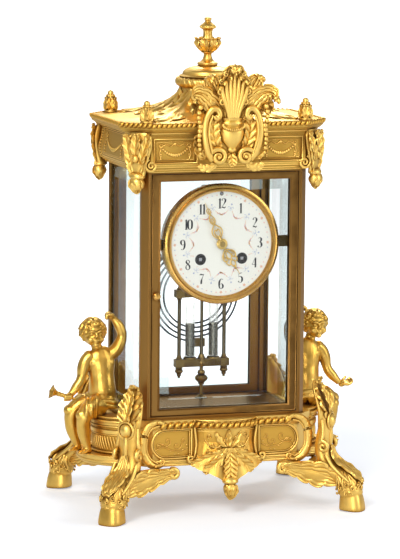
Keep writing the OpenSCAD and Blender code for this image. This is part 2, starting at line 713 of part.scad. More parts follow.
module door_glass() {
    gw = 2 * (door_hw - stile_w + groove - seat_fit);
    color("#cfe0d8", 0.4) translate([0, glass_y + seat_fit, door_low + rail_w - groove + seat_fit])
        bevelled(gw, door_h - 2 * rail_w + 2 * groove - 2 * seat_fit);
}
// Round knob on a stem, with the latch tongue behind the stile; it rests turned open
module door_knob() {
    color(light_brass) translate([-knob_x, -half_d, knob_z]) rotate([90, 0, 0]) {
        rotate_extrude() polygon([[0, -door_t - 1.4], [1.2, -door_t - 1.4], [1.2, 0.3], [knob_d * 0.34, 0.3],
            [knob_d * 0.3, 1.2], [knob_d * 0.42, 1.8], [knob_d / 2, 3], [knob_d * 0.46, 4.2],
            [knob_d * 0.3, 5.2], [0, 5.6]]);
        translate([-1.5, -1.5, -door_t - 1.4]) cube([3, stile_w / 2 + 1.5 + door_gap + 1.6, 1.2]);
    }
}
module front_door_frame() { door_frame(); }
module front_door_glass() { door_glass(); }
module front_door_knob() { door_knob(); }
module rear_door_frame() { rotate(180) door_frame(); }
module rear_door_glass() { rotate(180) door_glass(); }
module rear_door_knob() { rotate(180) door_knob(); }

// Cornice, roof and their ornaments

// Swelling profile: share of the height, and share of the overhang
cornice_line = [[0, 0.16], [0.05, 0.3], [0.12, 0.5], [0.24, 0.6], [0.38, 0.58], [0.55, 0.47],
    [0.72, 0.42], [0.78, 0.5], [0.83, 0.8], [0.88, 0.97], [0.93, 1], [0.96, 0.92], [1, 0.8]];
function cornice_ring(s, inset = 0) = let(out = s[1],
    c = mix(cant, cornice_cant, out))
    lifted(canted(half_w + over_x * out - inset, half_d + over_y * out - inset, c),
        mix(top_z, cornice_z, s[0]));
module cornice() {
    color(gilt) difference() {
        skin([for (s = cornice_line) cornice_ring(s)]);
        skin([for (z = [top_z + cast_wall, cornice_z + 1])
            lifted(canted(half_w - cast_wall, half_d - cast_wall, cornice_cant), z)]);
        for (s = [-1, 1], e = [-1, 1])
            translate([s * (half_w * 0.64), e * (half_d + over_y * 0.58), mix(top_z, cornice_z, 0.44)])
                cube([half_w * 0.5, 4, cornice_h * 0.46], center = true);
    }
}
// Roof ring: a rectangle with wide cants below, drawn in to the neck's circle above
function roof_ring(t, inset) = let(n = 32,
    hw = half_w + over_x * 0.78 - inset, hd = half_d + over_y * 0.78 - inset,
    sum = half_w + half_d - 11.2 - inset * 1.4) [for (i = [0:n - 1])
    let(a = 360 * (i + 0.5) / n, d = [cos(a), sin(a)],
        edge = min(hw / max(abs(d.x), 0.001), hd / max(abs(d.y), 0.001), sum / (abs(d.x) + abs(d.y))),
        r = mix(edge, neck_r - inset, sin(90 * t)))
    [d.x * r, d.y * r, mix(cornice_z, roof_z - (inset > 0 ? cast_wall : 0), pow(t, 1.6))]];
roof_skin = [for (k = [0:7]) roof_ring(k / 7, 0)];
roof_inside = [for (k = [7:-1:0]) roof_ring(k / 7, cast_wall)];
module roof() {
    color(gilt) skin(concat(roof_inside, roof_skin));
}
module roof_cap() {
    r = collar_r;
    h = cap_h;
    color(gilt) translate([0, 0, roof_z]) rotate_extrude()
        polygon(concat([[0, 0], [neck_r, 0], [neck_r, h * 0.06], [r * 0.93, h * 0.12]],
            [for (a = [-60:20:60]) [r * 0.93 + r * 0.07 * cos(a), h * 0.3 + h * 0.17 * sin(a)]],
            [[r * 0.84, h * 0.5], [r * 0.84, h * 0.58], [r * 0.79, h * 0.62]],
            [for (a = [0:15:75]) [r * 0.1 + r * 0.68 * cos(a), h * 0.66 + h * 0.34 * sin(a)]],
            [[0, h]]));
}
module finial() {
    r = urn_r;
    h = finial_h;
    color(gilt) translate([0, 0, cap_z]) rotate_extrude()
        polygon([[0, 0], [r * 0.72, 0], [r * 0.76, h * 0.05], [r * 0.5, h * 0.09], [r * 0.36, h * 0.16],
            [r * 0.3, h * 0.24], [r * 0.5, h * 0.27], [r * 0.42, h * 0.3], [r * 0.72, h * 0.34],
            [r * 0.96, h * 0.4], [r, h * 0.45], [r * 0.9, h * 0.49], [r * 0.62, h * 0.52],
            [r * 0.4, h * 0.56], [r * 0.3, h * 0.66], [r * 0.36, h * 0.72], [r * 0.56, h * 0.77],
            [r * 0.6, h * 0.81], [r * 0.5, h * 0.85], [r * 0.3, h * 0.89], [r * 0.22, h * 0.91],
            [r * 0.3, h * 0.95], [r * 0.2, h * 0.985], [0, h]]);
}
// Leaf over each canted corner of the cornice, ending in a hanging bud
module corner_mask() {
    back = mix(cant, cornice_cant, 0.6) / 2;
    far = [back - half_w - over_x * 0.6, back - half_d - over_y * 0.6];
    across = unit([1, -1, 0]);
    function down(z, o, w, t) = [far.x - o * 0.7, far.y - o * 0.7, z, w, t];
    difference() {
        between_heights(top_z - 19, top_z + cornice_h * 0.76) {
            loft([down(top_z + cornice_h * 0.8, -2, 6, 2), down(top_z + cornice_h * 0.62, -1, 10, 3),
                down(top_z + cornice_h * 0.4, 0, 12, 3.4), down(top_z + cornice_h * 0.16, 0, 9, 3.4),
                down(top_z, 0, 6, 3.4), down(top_z - 5, 2, 7, 5), down(top_z - 12, 2, 6, 5),
                down(top_z - 20, 1, 1.4, 1.4)], across, 8);
            loft([down(top_z + cornice_h * 0.74, 0, 3, 2), down(top_z + cornice_h * 0.4, 3, 3.4, 2.4),
                down(top_z + cornice_h * 0.1, 3, 2.6, 2), down(top_z - 8, 6, 2.6, 2)], across);
        }
        skin([for (s = cornice_line) cornice_ring(s)]);
        translate([0, 0, top_z - 100]) linear_extrude(100)
            polygon(canted(half_w + air, half_d + air, cant));
    }
}
module cornice_masks() {
    color(gilt) resize([0, 0, cornice_h * 0.76 + 19]) four_corners() corner_mask();
}
// Leafy buds that stand on the ledges outside the roof's wide cants
spike_x = half_w - 3;
spike_y = half_d + 0.4;
module corner_finials() {
    h = spike_h;
    color(gilt) four_corners() translate([-spike_x, -spike_y, cornice_z]) rotate_extrude()
        polygon([[0, 0], [5.8, 0], [5.8, h * 0.08], [5, h * 0.14], [5.7, h * 0.28], [5.6, h * 0.4],
            [4.7, h * 0.58], [3.4, h * 0.74], [2.5, h * 0.82], [2.5, h * 0.88], [1.8, h * 0.95], [0, h]]);
}

// Crest of plumes, scrolls and an urn shield, on the middle of the cornice's front.
// Its foot rests against the frieze, and its plume leans back over the cornice's edge.
crest_base = 6.5;
module crest_form() {
    limb([[0, 3, -1, 3], [0, 2, 4, 4.4], [0, 2, 9, 2.6]]);
    loft([[0, 2, 12, 3, 3], [0, 0, 16, 6.4, 4.6], [0, -1.4, 24, 10, 5.4], [0, -1.4, 33, 11, 5],
        [0, -1, 38, 8.6, 4], [0, 0, 42, 9, 3.4]], sides = 10);
    loft([[0, 2, 39, 5, 2.6], [0, 2, 56, 6, 2.6], [0, 2, 72, 6.6, 2.4], [0, 2, crest_h - 3, 5.4, 2.4],
        [0, 0.6, crest_h + 1, 2, 1.6]]);
    both_sides() {
        loft([[4, 2, 39, 4, 2.2], [8, 1.6, 56, 5, 2.4], [12, 1.6, 70, 5.4, 2.2], [15, 1, 81, 3.6, 2],
            [15.6, 0, 84, 1.4, 1.2]]);
        loft([[8, 1.4, 42, 4, 2], [15, 1, 54, 4.6, 2.2], [23, 1, 63, 4.4, 2], [31, 1, 67, 3.6, 2],
            [crest_half - 4, 1, 65, 3, 2], [crest_half, 0, 58, 1.6, 1.6]], [0.5, 0, -1]);
        loft(scroll([13.6, 1, 9.5], 8, 1.4, -60, 450, 4, 2.2), [0, 1, 0], 6, 1);
        loft([[20, 2, 12, 2.4, 3], [23.6, 1, 22, 2.6, 3], [25.6, 0, 34, 3, 3], [26, 0, 42, 2.6, 3],
            [23, 1, 48, 2.2, 2.6]]);
        loft(scroll([19.4, 0, 44], 7, 1.2, 20, 420, 3.4, 1.8), [0, 1, 0], 6, 1);
        loft([[9, 3, 12, 3, 2], [13, 2, 24, 8, 2], [14, 1, 36, 9, 2], [12, 1, 48, 8, 2],
            [8, 1, 56, 4, 1.6]]);
        limb([[30, 1, 30, 2], [31.6, 0, 38, 2.2], [30, 1, 45, 1.6]]);
    }
}
module crest() {
    color(gilt) resize([0, 0, crest_h]) difference() {
        translate([0, -half_d - over_y - 2.4, top_z + crest_base]) between_heights(0, crest_h) crest_form();
        skin([for (s = cornice_line) cornice_ring(s)]);
        skin(roof_skin);
    }
}

// Bezel, dial and hands

module bezel() {
    r = bezel_r;
    q = dial_d / 2;
    color(light_brass) difference() {
        in_movement() rotate_extrude()
            polygon([[q + 2.4, strap_front - bezel_back], [r - 1.6, strap_front - bezel_back],
                [r - 1.4, dial_front - 3], [r, dial_front - 1.4], [r, dial_front + 0.6],
                [r - 0.8, dial_front + 1.8], [r - 2.4, dial_front + 2.4], [q + 3.4, dial_front + 2],
                [q + 2.6, dial_front + 3.2], [q + 1.4, dial_front + 3.2], [q, dial_front + 1.2],
                [q, dial_front + seat_fit], [q + 2.4, dial_front + seat_fit]]);
        translate([-half_w, -strap_front, dial_z - strap_h / 2 - seat_fit])
            cube([case_w, bezel_back + 1, strap_h + 2 * seat_fit]);
    }
}
module dial() {
    color("#f4f1e8") in_movement() difference() {
        disc(dial_d / 2 + 2.4 - seat_fit, dial_front - dial_t, dial_front);
        disc(3.4, 0, half_d);
        for (at = [going_at, strike_at]) disc(wind_hole_d / 2, 0, half_d, at);
        disc(1.8, 0, half_d, regulator_at);
    }
}
// Outline of a pierced hand of the given length, pointing along +x
module hand_outline(length, width) {
    difference() {
        offset(0.35) offset(-0.35) union() {
            polygon([[0, -1], [length * 0.3, -0.9], [length * 0.36, -width * 0.7], [length * 0.52, -width],
                [length * 0.62, -width * 0.4], [length * 0.72, -width * 0.66], [length * 0.8, -0.5],
                [length, -0.1], [length, 0.1], [length * 0.8, 0.5], [length * 0.72, width * 0.66],
                [length * 0.62, width * 0.4], [length * 0.52, width], [length * 0.36, width * 0.7],
                [length * 0.3, 0.9], [0, 1]]);
            circle(r = hub_r);
        }
        for (s = [-1, 1])
            polygon([[length * 0.38, s * 0.7], [length * 0.5, s * (width - 1.2)], [length * 0.58, s * 0.7]]);
        polygon([[length * 0.67, 0], [length * 0.72, width * 0.34], [length * 0.77, 0],
            [length * 0.72, -width * 0.34]]);
    }
}
// Levels in front of the dial
hour_z = dial_front + 0.9;
minute_z = hour_z + hand_t + 0.7;
pipe_r = 1.3;
hour_pipe_r = 2.4;
module minute_hand() {
    color("#b8862f") in_movement() translate([0, 0, minute_z]) difference() {
        rotate(minute_angle) linear_extrude(hand_t) hand_outline(minute_len, 3.4);
        disc(pipe_r, -1, hand_t + 1);
    }
}
module hour_hand() {
    color("#b8862f") in_movement() translate([0, 0, hour_z]) difference() {
        rotate(hour_angle) linear_extrude(hand_t) hand_outline(hour_len, 5.4);
        disc(hour_pipe_r, -1, hand_t + 1);
    }
}

// Motion work between the dial and the front plate

cannon_z = plate_front + 0.7;
hour_wheel_z = cannon_z + wheel_t + 0.8;
module cannon_pinion() {
    color(light_brass) in_movement() {
        translate([0, 0, cannon_z])
            pinion(cannon_leaves, cannon_module, angle_to(centre_at, motion_at), wheel_t);
        disc(pipe_r, cannon_z, minute_z + hand_t);
        disc(pipe_r + 1.3, minute_z + hand_t, minute_z + hand_t + 0.9);
    }
}
module hour_wheel() {
    color(light_brass) in_movement() {
        translate([0, 0, hour_wheel_z])
            wheel(4 * motion_leaves, motion_module, angle_to(centre_at, motion_at), pipe_r + run_fit);
        difference() {
            disc(hour_pipe_r, hour_wheel_z + wheel_t, hour_z + hand_t);
            disc(pipe_r + run_fit, 0, half_d);
        }
    }
}
module minute_wheel() {
    toward = angle_to(motion_at, centre_at);
    color(light_brass) in_movement() {
        translate([motion_at.x, motion_at.y, cannon_z])
            wheel(3 * cannon_leaves, cannon_module, toward, arbor_r);
        translate([motion_at.x, motion_at.y, cannon_z + wheel_t])
            pinion(motion_leaves, motion_module, toward, hour_wheel_z - cannon_z);
        disc(arbor_r, gap_front + 0.2, hour_wheel_z + wheel_t + 0.4, motion_at);
    }
}

// Plates and what stands on them

pillar_at = [for (a = [45, 135, 185, -5, -65]) (plate_r - 4.2) * [cos(a), sin(a)]];
pivots = [second_at, third_at, escape_at, pin_at, fly_at];
module plate_holes(z0, z1) {
    for (at = pivots) disc(arbor_r / 2 + run_fit, z0, z1, at);
    for (at = [going_at, strike_at]) disc(big_arbor_r + run_fit, z0, z1, at);
}
module front_plate() {
    color(light_brass) in_movement() difference() {
        disc(plate_r, gap_front, plate_front);
        plate_holes(0, half_d);
        disc(pipe_r + run_fit, 0, half_d);
        disc(arbor_r + run_fit, 0, half_d, motion_at);
        disc(arbor_r / 2 + run_fit, 0, half_d, pivot_at);
        disc(arbor_r + run_fit, 0, half_d, regulator_at);
    }
    color(light_brass) in_movement() {
        for (at = [going_at, strike_at])
            disc(0.4, plate_front - 1, ratchet_z + ratchet_t + 0.3, at + click_pin);
        difference() {
            translate([-3.4, plate_r - 2, gap_front])
                cube([6.8, max(5, regulator_at.y + 4 - plate_r), plate_t]);
            disc(arbor_r + run_fit, 0, half_d, regulator_at);
        }
    }
}
module rear_plate() {
    color(light_brass) in_movement() disc(1, hub_z - 3.6, gap_back, hammer_at);
    color(light_brass) in_movement() difference() {
        disc(plate_r, plate_back, gap_back);
        plate_holes(-half_d, half_d);
        disc(arbor_r / 2 + run_fit, -half_d, half_d);
        disc(2.4, -half_d, half_d, pivot_at);
        disc(arbor_r + run_fit, -half_d, half_d, regulator_at);
    }
}
module plate_pillars() {
    color(light_brass) in_movement() for (at = pillar_at) translate([at.x, at.y, gap_back])
        rotate_extrude() polygon([[0, 0], [2.6, 0], [2.6, 1], [1.7, 2], [1.5, plate_gap * 0.3],
            [2.3, plate_gap * 0.5], [1.5, plate_gap * 0.7], [1.7, plate_gap - 2],
            [2.6, plate_gap - 1], [2.6, plate_gap], [0, plate_gap]]);
}
// Straps from the front plate out to the corner posts
module movement_brackets() {
    inner = half_w - cant - post_face;
    reach = strap_t + 0.6;
    color(brass) both_sides() {
        translate([-inner - reach, -strap_front, dial_z - strap_h / 2])
            cube([inner + reach - plate_r + 4, strap_t, strap_h]);
        translate([-inner - reach, -half_d + post_deep, dial_z - strap_h / 2])
            cube([strap_t + 0.2, half_d - post_deep - strap_front + strap_t, strap_h]);
    }
}

// Going and striking trains

// Spring barrel with its great wheel, seen from the front
module barrel(at, toward) {
    translate([at.x, at.y, great_z]) wheel(barrel_teeth, barrel_module, toward,
        big_arbor_r + run_fit, 0, 1.8);
    difference() {
        disc(drum_r, drum_back, great_z, at);
        disc(drum_r - drum_wall, drum_back + drum_wall, great_z + 0.01, at);
        disc(big_arbor_r + run_fit, 0, half_d, at);
    }
}
ratchet_z = plate_front + 0.5;
ratchet_t = 1.2;
ratchet_r = 5.6;
ratchet_teeth = 24;
click_pin = [ratchet_r + 3.9, -3.8];
module ratchet() {
    pitch = 360 / ratchet_teeth;
    linear_extrude(ratchet_t) polygon([for (i = [0:ratchet_teeth - 1])
        each [ratchet_r * [cos(i * pitch), sin(i * pitch)],
            (ratchet_r - 0.9) * [cos(i * pitch), sin(i * pitch)] + 0.01 * [1, 1]]]);
}
module winding_arbor(at) {
    disc(big_arbor_r, gap_back - plate_t + 0.2, ratchet_z, at);
    disc(big_arbor_r + 1.6, drum_back + drum_wall + 1, great_z - 1, at);
    translate([at.x, at.y, ratchet_z]) ratchet();
    translate([at.x - square_w / 2, at.y - square_w / 2, ratchet_z + ratchet_t])
        cube([square_w, square_w, dial_front - ratchet_z - ratchet_t - 0.4]);
}
module click(at) {
    translate([at.x, at.y, ratchet_z]) {
        linear_extrude(ratchet_t) difference() {
            polygon([[ratchet_r + 0.06, 0.3], [ratchet_r + 0.6, -1.4], [ratchet_r + 3.4, -4.6],
                [ratchet_r + 5, -4.4], [ratchet_r + 4.4, -2.4], [ratchet_r + 1.4, 1.2],
                [ratchet_r + 0.2, 1.5]]);
            translate(click_pin) circle(r = 0.4 + run_fit);
        }
    }
}
module going_barrel() { color(light_brass) in_movement() barrel(going_at, angle_to(going_at, second_at)); }
module strike_barrel() { color(light_brass) in_movement() barrel(strike_at, angle_to(strike_at, pin_at)); }
module going_arbor() { color(steel) in_movement() winding_arbor(going_at); }
module strike_arbor() { color(steel) in_movement() winding_arbor(strike_at); }
module going_click() { color(steel) in_movement() click(going_at); }
module strike_click() { color(steel) in_movement() click(strike_at); }

module second_wheel() {
    color(light_brass) in_movement() {
        translate([second_at.x, second_at.y, great_z - 0.6])
            pinion(barrel_leaves, barrel_module, angle_to(second_at, going_at), 3);
        translate([second_at.x, second_at.y, rear_wheel_z])
            wheel(second_teeth, second_module, angle_to(second_at, centre_at), arbor_r);
        arbor(second_at);
    }
}
module centre_wheel() {
    color(light_brass) in_movement() {
        translate([0, 0, rear_wheel_z - 0.6])
            pinion(leaves, second_module, angle_to(centre_at, second_at), wheel_t + 1.2);
        translate([0, 0, centre_wheel_z])
            wheel(centre_teeth, centre_module, angle_to(centre_at, third_at), arbor_r);
        disc(arbor_r, gap_back + 0.4, gap_front, centre_at);
        disc(arbor_r / 2, plate_back + 0.2, gap_back + 0.4, centre_at);
        disc(pipe_r, gap_front - 1, cannon_z, centre_at);
    }
}
module third_wheel() {
    color(light_brass) in_movement() {
        translate([third_at.x, third_at.y, centre_wheel_z - 0.3])
            pinion(leaves, centre_module, angle_to(third_at, centre_at), wheel_t + 0.6);
        translate([third_at.x, third_at.y, third_z])
            wheel(third_teeth, third_module, angle_to(third_at, escape_at), arbor_r);
        arbor(third_at, gap_back - air + 0.3);
    }
}
// Raked teeth, cut straight on their leading side
module escape_wheel() {
    pitch = 360 / escape_teeth;
    root = escape_r - 2;
    color(light_brass) in_movement() {
        translate([escape_at.x, escape_at.y, escape_z]) linear_extrude(wheel_t) difference() {
            polygon([for (i = [0:escape_teeth - 1]) each [
                root * [cos(i * pitch), sin(i * pitch)],
                escape_r * [cos(i * pitch + pitch * 0.3), sin(i * pitch + pitch * 0.3)],
                escape_r * [cos(i * pitch + pitch * 0.38), sin(i * pitch + pitch * 0.38)],
                root * [cos(i * pitch + pitch * 0.5), sin(i * pitch + pitch * 0.5)]]]);
            circle(r = arbor_r, $fn = 48);
            for (i = [0:3]) rotate(i * 90) translate([root * 0.5, root * 0.5]) circle(r = root * 0.24);
        }
        translate([escape_at.x, escape_at.y, third_z - 1])
            pinion(leaves, third_module, angle_to(escape_at, third_at), wheel_t + 2);
        arbor(escape_at);
    }
}
module strike_wheel() {
    color(light_brass) in_movement() {
        translate([pin_at.x, pin_at.y, great_z - 0.6])
            pinion(barrel_leaves, barrel_module, angle_to(pin_at, strike_at), 3);
        translate([pin_at.x, pin_at.y, rear_wheel_z])
            wheel(strike_teeth, strike_module, angle_to(pin_at, fly_at), arbor_r);
        for (i = [0:7])
            disc(0.5, rear_wheel_z - 1, rear_wheel_z, pin_at + (strike_teeth * strike_module / 2 - 1.8)
                * [cos(i * 45), sin(i * 45)]);
        arbor(pin_at);
    }
}
module strike_fly() {
    color(light_brass) in_movement() {
        translate([fly_at.x, fly_at.y, rear_wheel_z - 0.6])
            pinion(leaves, strike_module, angle_to(fly_at, pin_at), wheel_t + 1.2);
        translate([fly_at.x - 0.3, fly_at.y - 5, gap_back + 10]) cube([0.6, 10, 12]);
        arbor(fly_at);
    }
}
// Hammer on a stud behind the rear plate, its rod reaching back to the gong
hub_z = plate_back - 1;
module hammer() {
    from = [hammer_at.x, hammer_at.y, hub_z - 2.2];
    to = [hammer_head.x, hammer_head.y, gong_z];
    run = to - from;
    color(steel) in_movement() {
        difference() {
            union() {
                disc(3, hub_z - 3.2, hub_z, hammer_at);
                translate(from) rotate([0, acos(run.z / norm(run)), atan2(run.y, run.x)])
                    cylinder(r = 1, h = norm(run));
            }
            disc(1 + run_fit, hub_z - 4, hub_z + 1, hammer_at);
        }
        translate(to) rotate([90, 0, atan2(hammer_dir.y, hammer_dir.x) + 90])
            translate([0, 0, -3.4]) cylinder(r = 3.2, h = 7);
    }
}

// Gong: one flat spiral of steel wire, held at its outer end
function gong_point(t) = let(a = -90 - 360 * t * gong_turns, r = gong_r - gong_pitch * gong_turns * t)
    [r * cos(a), gong_y + r * sin(a), gong_z];
gong_rings = gong_turns * 24;
gong_line = [for (k = [0:gong_rings]) gong_point(k / gong_rings)];
echo(least_gap_between_gong_turns = min([for (i = [0:gong_rings - 24])
    norm(gong_line[i] - gong_line[i + 24])]) - gong_wire);
module gong() {
    w = gong_wire / 2;
    color(steel) in_movement() skin([for (i = [0:gong_rings])
        let(run = unit(nth(gong_line, i + 1) - nth(gong_line, i - 1)), across = cross(run, [0, 0, 1]))
        [for (k = [0:5]) gong_line[i] + w * (across * cos(60 * k) - [0, 0, 1] * sin(60 * k))]]);
}
// Slender post beside the middle, with an arm that grips the wire's outer end
post_r = 1.7;
post_x = 6.5;
module gong_stand() {
    top = case_z + gong_up - gong_r;
    arm_h = 5;
    color(brass) {
        translate([post_x, gong_back, case_z]) rotate_extrude()
            polygon([[0, 0], [5.4, 0], [5.4, 1], [3.6, 2], [post_r, 4], [post_r, top - case_z - arm_h],
                [0, top - case_z - arm_h]]);
        difference() {
            translate([-4, gong_back - 3, top - arm_h])
                cube([post_x + 6.4, 6, arm_h + gong_wire * 1.4]);
            in_movement() gong_slot();
        }
    }
}
module gong_slot() {
    translate([-20, gong_y - gong_r - gong_wire / 2 - seat_fit, gong_z - gong_wire / 2 - seat_fit])
        cube([20.2, gong_wire + 2 * seat_fit + 0.9, gong_wire + 2 * seat_fit]);
}

// Suspension, crutch and pallets

cock_z = plate_back - 6;
arbor_collar_r = arbor_r + 1;
module back_cock() {
    y = pivot_at.y;
    color(light_brass) in_movement() difference() {
        union() {
            translate([-9, y - 4, cock_z]) cube([18, 9, 2.4]);
            for (s = [-1, 1]) translate([s * 9 - 2, y - 4, cock_z]) cube([4, 9, plate_back - cock_z]);
            translate([-4, y + 4, cock_z]) cube([8, regulator_at.y + 3 - y - 4, 2.4]);
            translate([-4, y + 0.4, pend_z - 4.5]) cube([8, 4, cock_z - pend_z + 4.5]);
        }
        disc(arbor_r / 2 + run_fit, cock_z - 1, cock_z + 3, pivot_at);
        disc(arbor_r + run_fit, cock_z - 1, cock_z + 3, regulator_at);
        disc(arbor_collar_r + air, cock_z - 2.2 - air, cock_z - 1 + air, regulator_at);
        translate([-0.5, y - 2, pend_z - 10]) cube([1, 4.4, 14.5]);
    }
}
// Arbor above the plates that sets the rate, turned from its square in the dial
module regulator_arbor() {
    color(steel) in_movement() {
        disc(arbor_r, cock_z - 1, dial_front - 3, regulator_at);
        disc(arbor_collar_r, cock_z - 2.2, cock_z - 1, regulator_at);
        translate([-0.9, regulator_at.y - 0.9, dial_front - 3]) cube([1.8, 1.8, 2.6]);
    }
}
module pallets() {
    span = escape_r + 0.9;
    tip = [span * sin(52), escape_at.y + span * cos(52)];
    color(steel) in_movement() {
        translate([0, 0, escape_z]) linear_extrude(wheel_t) difference() {
            union() {
                for (s = [-1, 1])
                    polygon([[0, pivot_at.y + 1.6], [s * (tip.x + 1.6), tip.y + 2.6],
                        [s * (tip.x + 1.8), tip.y + 1.2], [s * (tip.x + 0.3), tip.y + 0.2],
                        [s * (tip.x - 0.2), tip.y + 1.9],
                        [s * 2.4, pivot_at.y - 1.4], [0, pivot_at.y - 1.9]]);
                translate(pivot_at) circle(r = 2);
            }
            translate(pivot_at) circle(r = arbor_r, $fn = 48);
        }
        disc(arbor_r, plate_back - 0.6, gap_front - air, pivot_at);
        disc(arbor_r / 2, gap_front - air, plate_front - 0.2, pivot_at);
        disc(arbor_r / 2, cock_z + 0.2, plate_back - 0.6, pivot_at);
        disc(1.9, plate_back - 2, plate_back - 0.6, pivot_at);
        translate([-1.1, pivot_at.y - 32, plate_back - 2]) cube([2.2, 32, 1.2]);
        for (s = [-1, 1]) translate([s * 2.2 - 0.5, pivot_at.y - 32, pend_z - 2])
            cube([1, 2.4, plate_back - 0.8 - pend_z + 2]);
        translate([-2.7, pivot_at.y - 32, plate_back - 2]) cube([5.4, 2.4, 1.2]);
    }
}

// Pendulum: spring strip, rod, and a frame of two columns that carries the jars

rod_r = 1.5;
jar_x = 11.2;
module turned(points, at) {
    translate([at.x, at.y, pend_z]) rotate([-90, 0, 0]) rotate_extrude() polygon(points);
}
module pendulum() {
    rod_h = pivot_at.y - 13 - upper_yoke_y;
    color(light_brass) in_movement() {
        translate([-0.2, pivot_at.y - 9, pend_z - 3]) cube([0.4, 10, 6]);
        translate([-2, pivot_at.y - 13, pend_z - 3.5]) cube([4, 5, 7]);
        turned([[0, 0], [rod_r, 0], [rod_r, rod_h], [0, rod_h]], [0, upper_yoke_y]);
        for (y = [yoke_y, upper_yoke_y]) {
            translate([-column_x - 4, y, pend_z - 3.4]) cube([2 * column_x + 8, yoke_h, 6.8]);
            for (s = [-1, 1]) translate([s * column_x - 4, y, pend_z - 4]) cube([8, yoke_h, 8]);
            turned([[0, 0], [3.6, 0], [4.4, yoke_h * 0.4], [3.4, yoke_h + 1],
                [2.2, yoke_h + 4], [0, yoke_h + 4]], [0, y]);
        }
        for (s = [-1, 1]) {
            turned([[0, 0], [3, 0], [2, 2], [1.6, 3], [1.6, shaft_h - 3], [2, shaft_h - 2],
                [2.8, shaft_h], [0, shaft_h]], [s * column_x, yoke_y + yoke_h]);
            turned([[0, 0], [1, 0.6], [2.2, 2.6], [1.4, 4.4], [3, 6.4], [3.4, 7.6], [2.4, 9], [0, 9]],
                [s * column_x, yoke_y - 9]);
            turned([[0, 0], [2.4, 0], [2.4, 1], [1.2, 3], [1.7, 5], [0.8, 7.6], [0, 8]],
                [s * column_x, upper_yoke_y + yoke_h]);
            translate([s * jar_x, yoke_y + yoke_h, pend_z]) rotate([-90, 0, 0])
                cylinder(r = jar_r + 0.8, h = 1.6);
        }
        turned([[0, 0], [rod_r, 0], [rod_r, yoke_up], [0, yoke_up]], [0, swing_low]);
    }
}
jar_low = yoke_y + yoke_h + 1.6;
jar_h = upper_yoke_y - jar_low - 5;
module mercury_jars() {
    color("#dfe8ea", 0.35) in_movement() for (s = [-1, 1])
        turned([[0, 0], [jar_r - 0.5, 0], [jar_r, 0.6], [jar_r, jar_h], [jar_r - 1, jar_h],
            [jar_r - 1, 1.4], [0, 1.4]], [s * jar_x, jar_low]);
}
module mercury() {
    color("#c9ccd0") in_movement() for (s = [-1, 1])
        turned([[0, 0], [jar_r - 1, 0], [jar_r - 1, mercury_h - 0.5], [0, mercury_h]],
            [s * jar_x, jar_low + 1.4]);
}
nut_y = yoke_y - 14;
module rating_nut() {
    color(light_brass) in_movement() difference() {
        turned([[0, -3], [2.4, -3], [3, -1], [5.6, 1.6], [6, 3.4], [4.6, 5.4], [3, 6.4], [3.6, 8],
            [3, 10], [0, 10]], [0, nut_y]);
        turned([[0, -10], [rod_r + run_fit, -10], [rod_r + run_fit, 30], [0, 30]], [0, nut_y]);
    }
}

base_casting();
apron_leaf();
foot_front_left();
foot_front_right();
foot_rear_left();
foot_rear_right();
seats();
putto_left();
putto_right();
case_floor();
corner_posts();
top_frame();
side_glass_left();
side_glass_right();
cornice();
roof();
roof_cap();
finial();
crest();
cornice_masks();
corner_finials();
movement_brackets();
front_door_frame();
front_door_glass();
front_door_knob();
rear_door_frame();
rear_door_glass();
rear_door_knob();
bezel();
dial();
minute_hand();
hour_hand();
cannon_pinion();
hour_wheel();
minute_wheel();
front_plate();
rear_plate();
plate_pillars();
going_barrel();
going_arbor();
second_wheel();
centre_wheel();
third_wheel();
escape_wheel();
strike_barrel();
strike_arbor();
strike_wheel();
strike_fly();
hammer();
going_click();
strike_click();
gong();
gong_stand();
back_cock();
pallets();
pendulum();
mercury_jars();
mercury();
rating_nut();
regulator_arbor();
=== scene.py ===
import random
from math import atan2, cos, exp, floor, hypot, pi, radians, sin

import bpy
import numpy as np
from mathutils import Matrix, Vector


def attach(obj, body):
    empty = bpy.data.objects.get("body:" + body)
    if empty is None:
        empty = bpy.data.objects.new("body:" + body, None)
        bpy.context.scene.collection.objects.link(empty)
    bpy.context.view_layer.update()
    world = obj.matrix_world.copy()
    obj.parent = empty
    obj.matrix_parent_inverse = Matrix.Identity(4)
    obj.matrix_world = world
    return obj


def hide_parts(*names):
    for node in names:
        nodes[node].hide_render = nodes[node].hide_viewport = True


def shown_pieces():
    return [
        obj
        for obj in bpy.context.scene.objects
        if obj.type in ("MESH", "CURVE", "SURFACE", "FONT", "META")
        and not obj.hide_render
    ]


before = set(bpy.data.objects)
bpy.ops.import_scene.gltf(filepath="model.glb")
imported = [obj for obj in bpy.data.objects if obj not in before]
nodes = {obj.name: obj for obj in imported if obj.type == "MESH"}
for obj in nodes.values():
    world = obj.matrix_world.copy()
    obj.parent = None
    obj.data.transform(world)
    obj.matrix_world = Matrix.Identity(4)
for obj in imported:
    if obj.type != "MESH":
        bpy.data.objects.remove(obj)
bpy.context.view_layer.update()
rnd = random.Random(7)

# Sizes of the CAD in millimetres: heights, half widths and depths of case and base, the cornice's overhang
# and height, how far the base's block swells, and the depth of the dial's face
BASE, CASE, TOP, CORN, ROOF, CAP, DIAL = 44, 87.8, 306.8, 350.8, 375.8, 396.3, 240.2
HW, HD, BW, BD = 77.0, 55.5, 84.0, 60.5
OX, OY, HIGH = 19.0, 12.0, 44
SWELL = 13
FACE = HD - 11.2
# where a hoof stands, the winding holes from the dial's centre, the pendulum's foot
FX, FY, WX, WY, PZ = 113, 85.5, 19.5, -13.7, CASE + 33
X, Y, Z = np.eye(3)
SIDES = (-1, 1)


def arr(*a):
    return np.array(a, float)


def unit(v):
    return v / max(np.linalg.norm(v), 1e-9)


def around(n):
    """n angles round a circle."""
    return np.arange(n) * 2 * pi / n


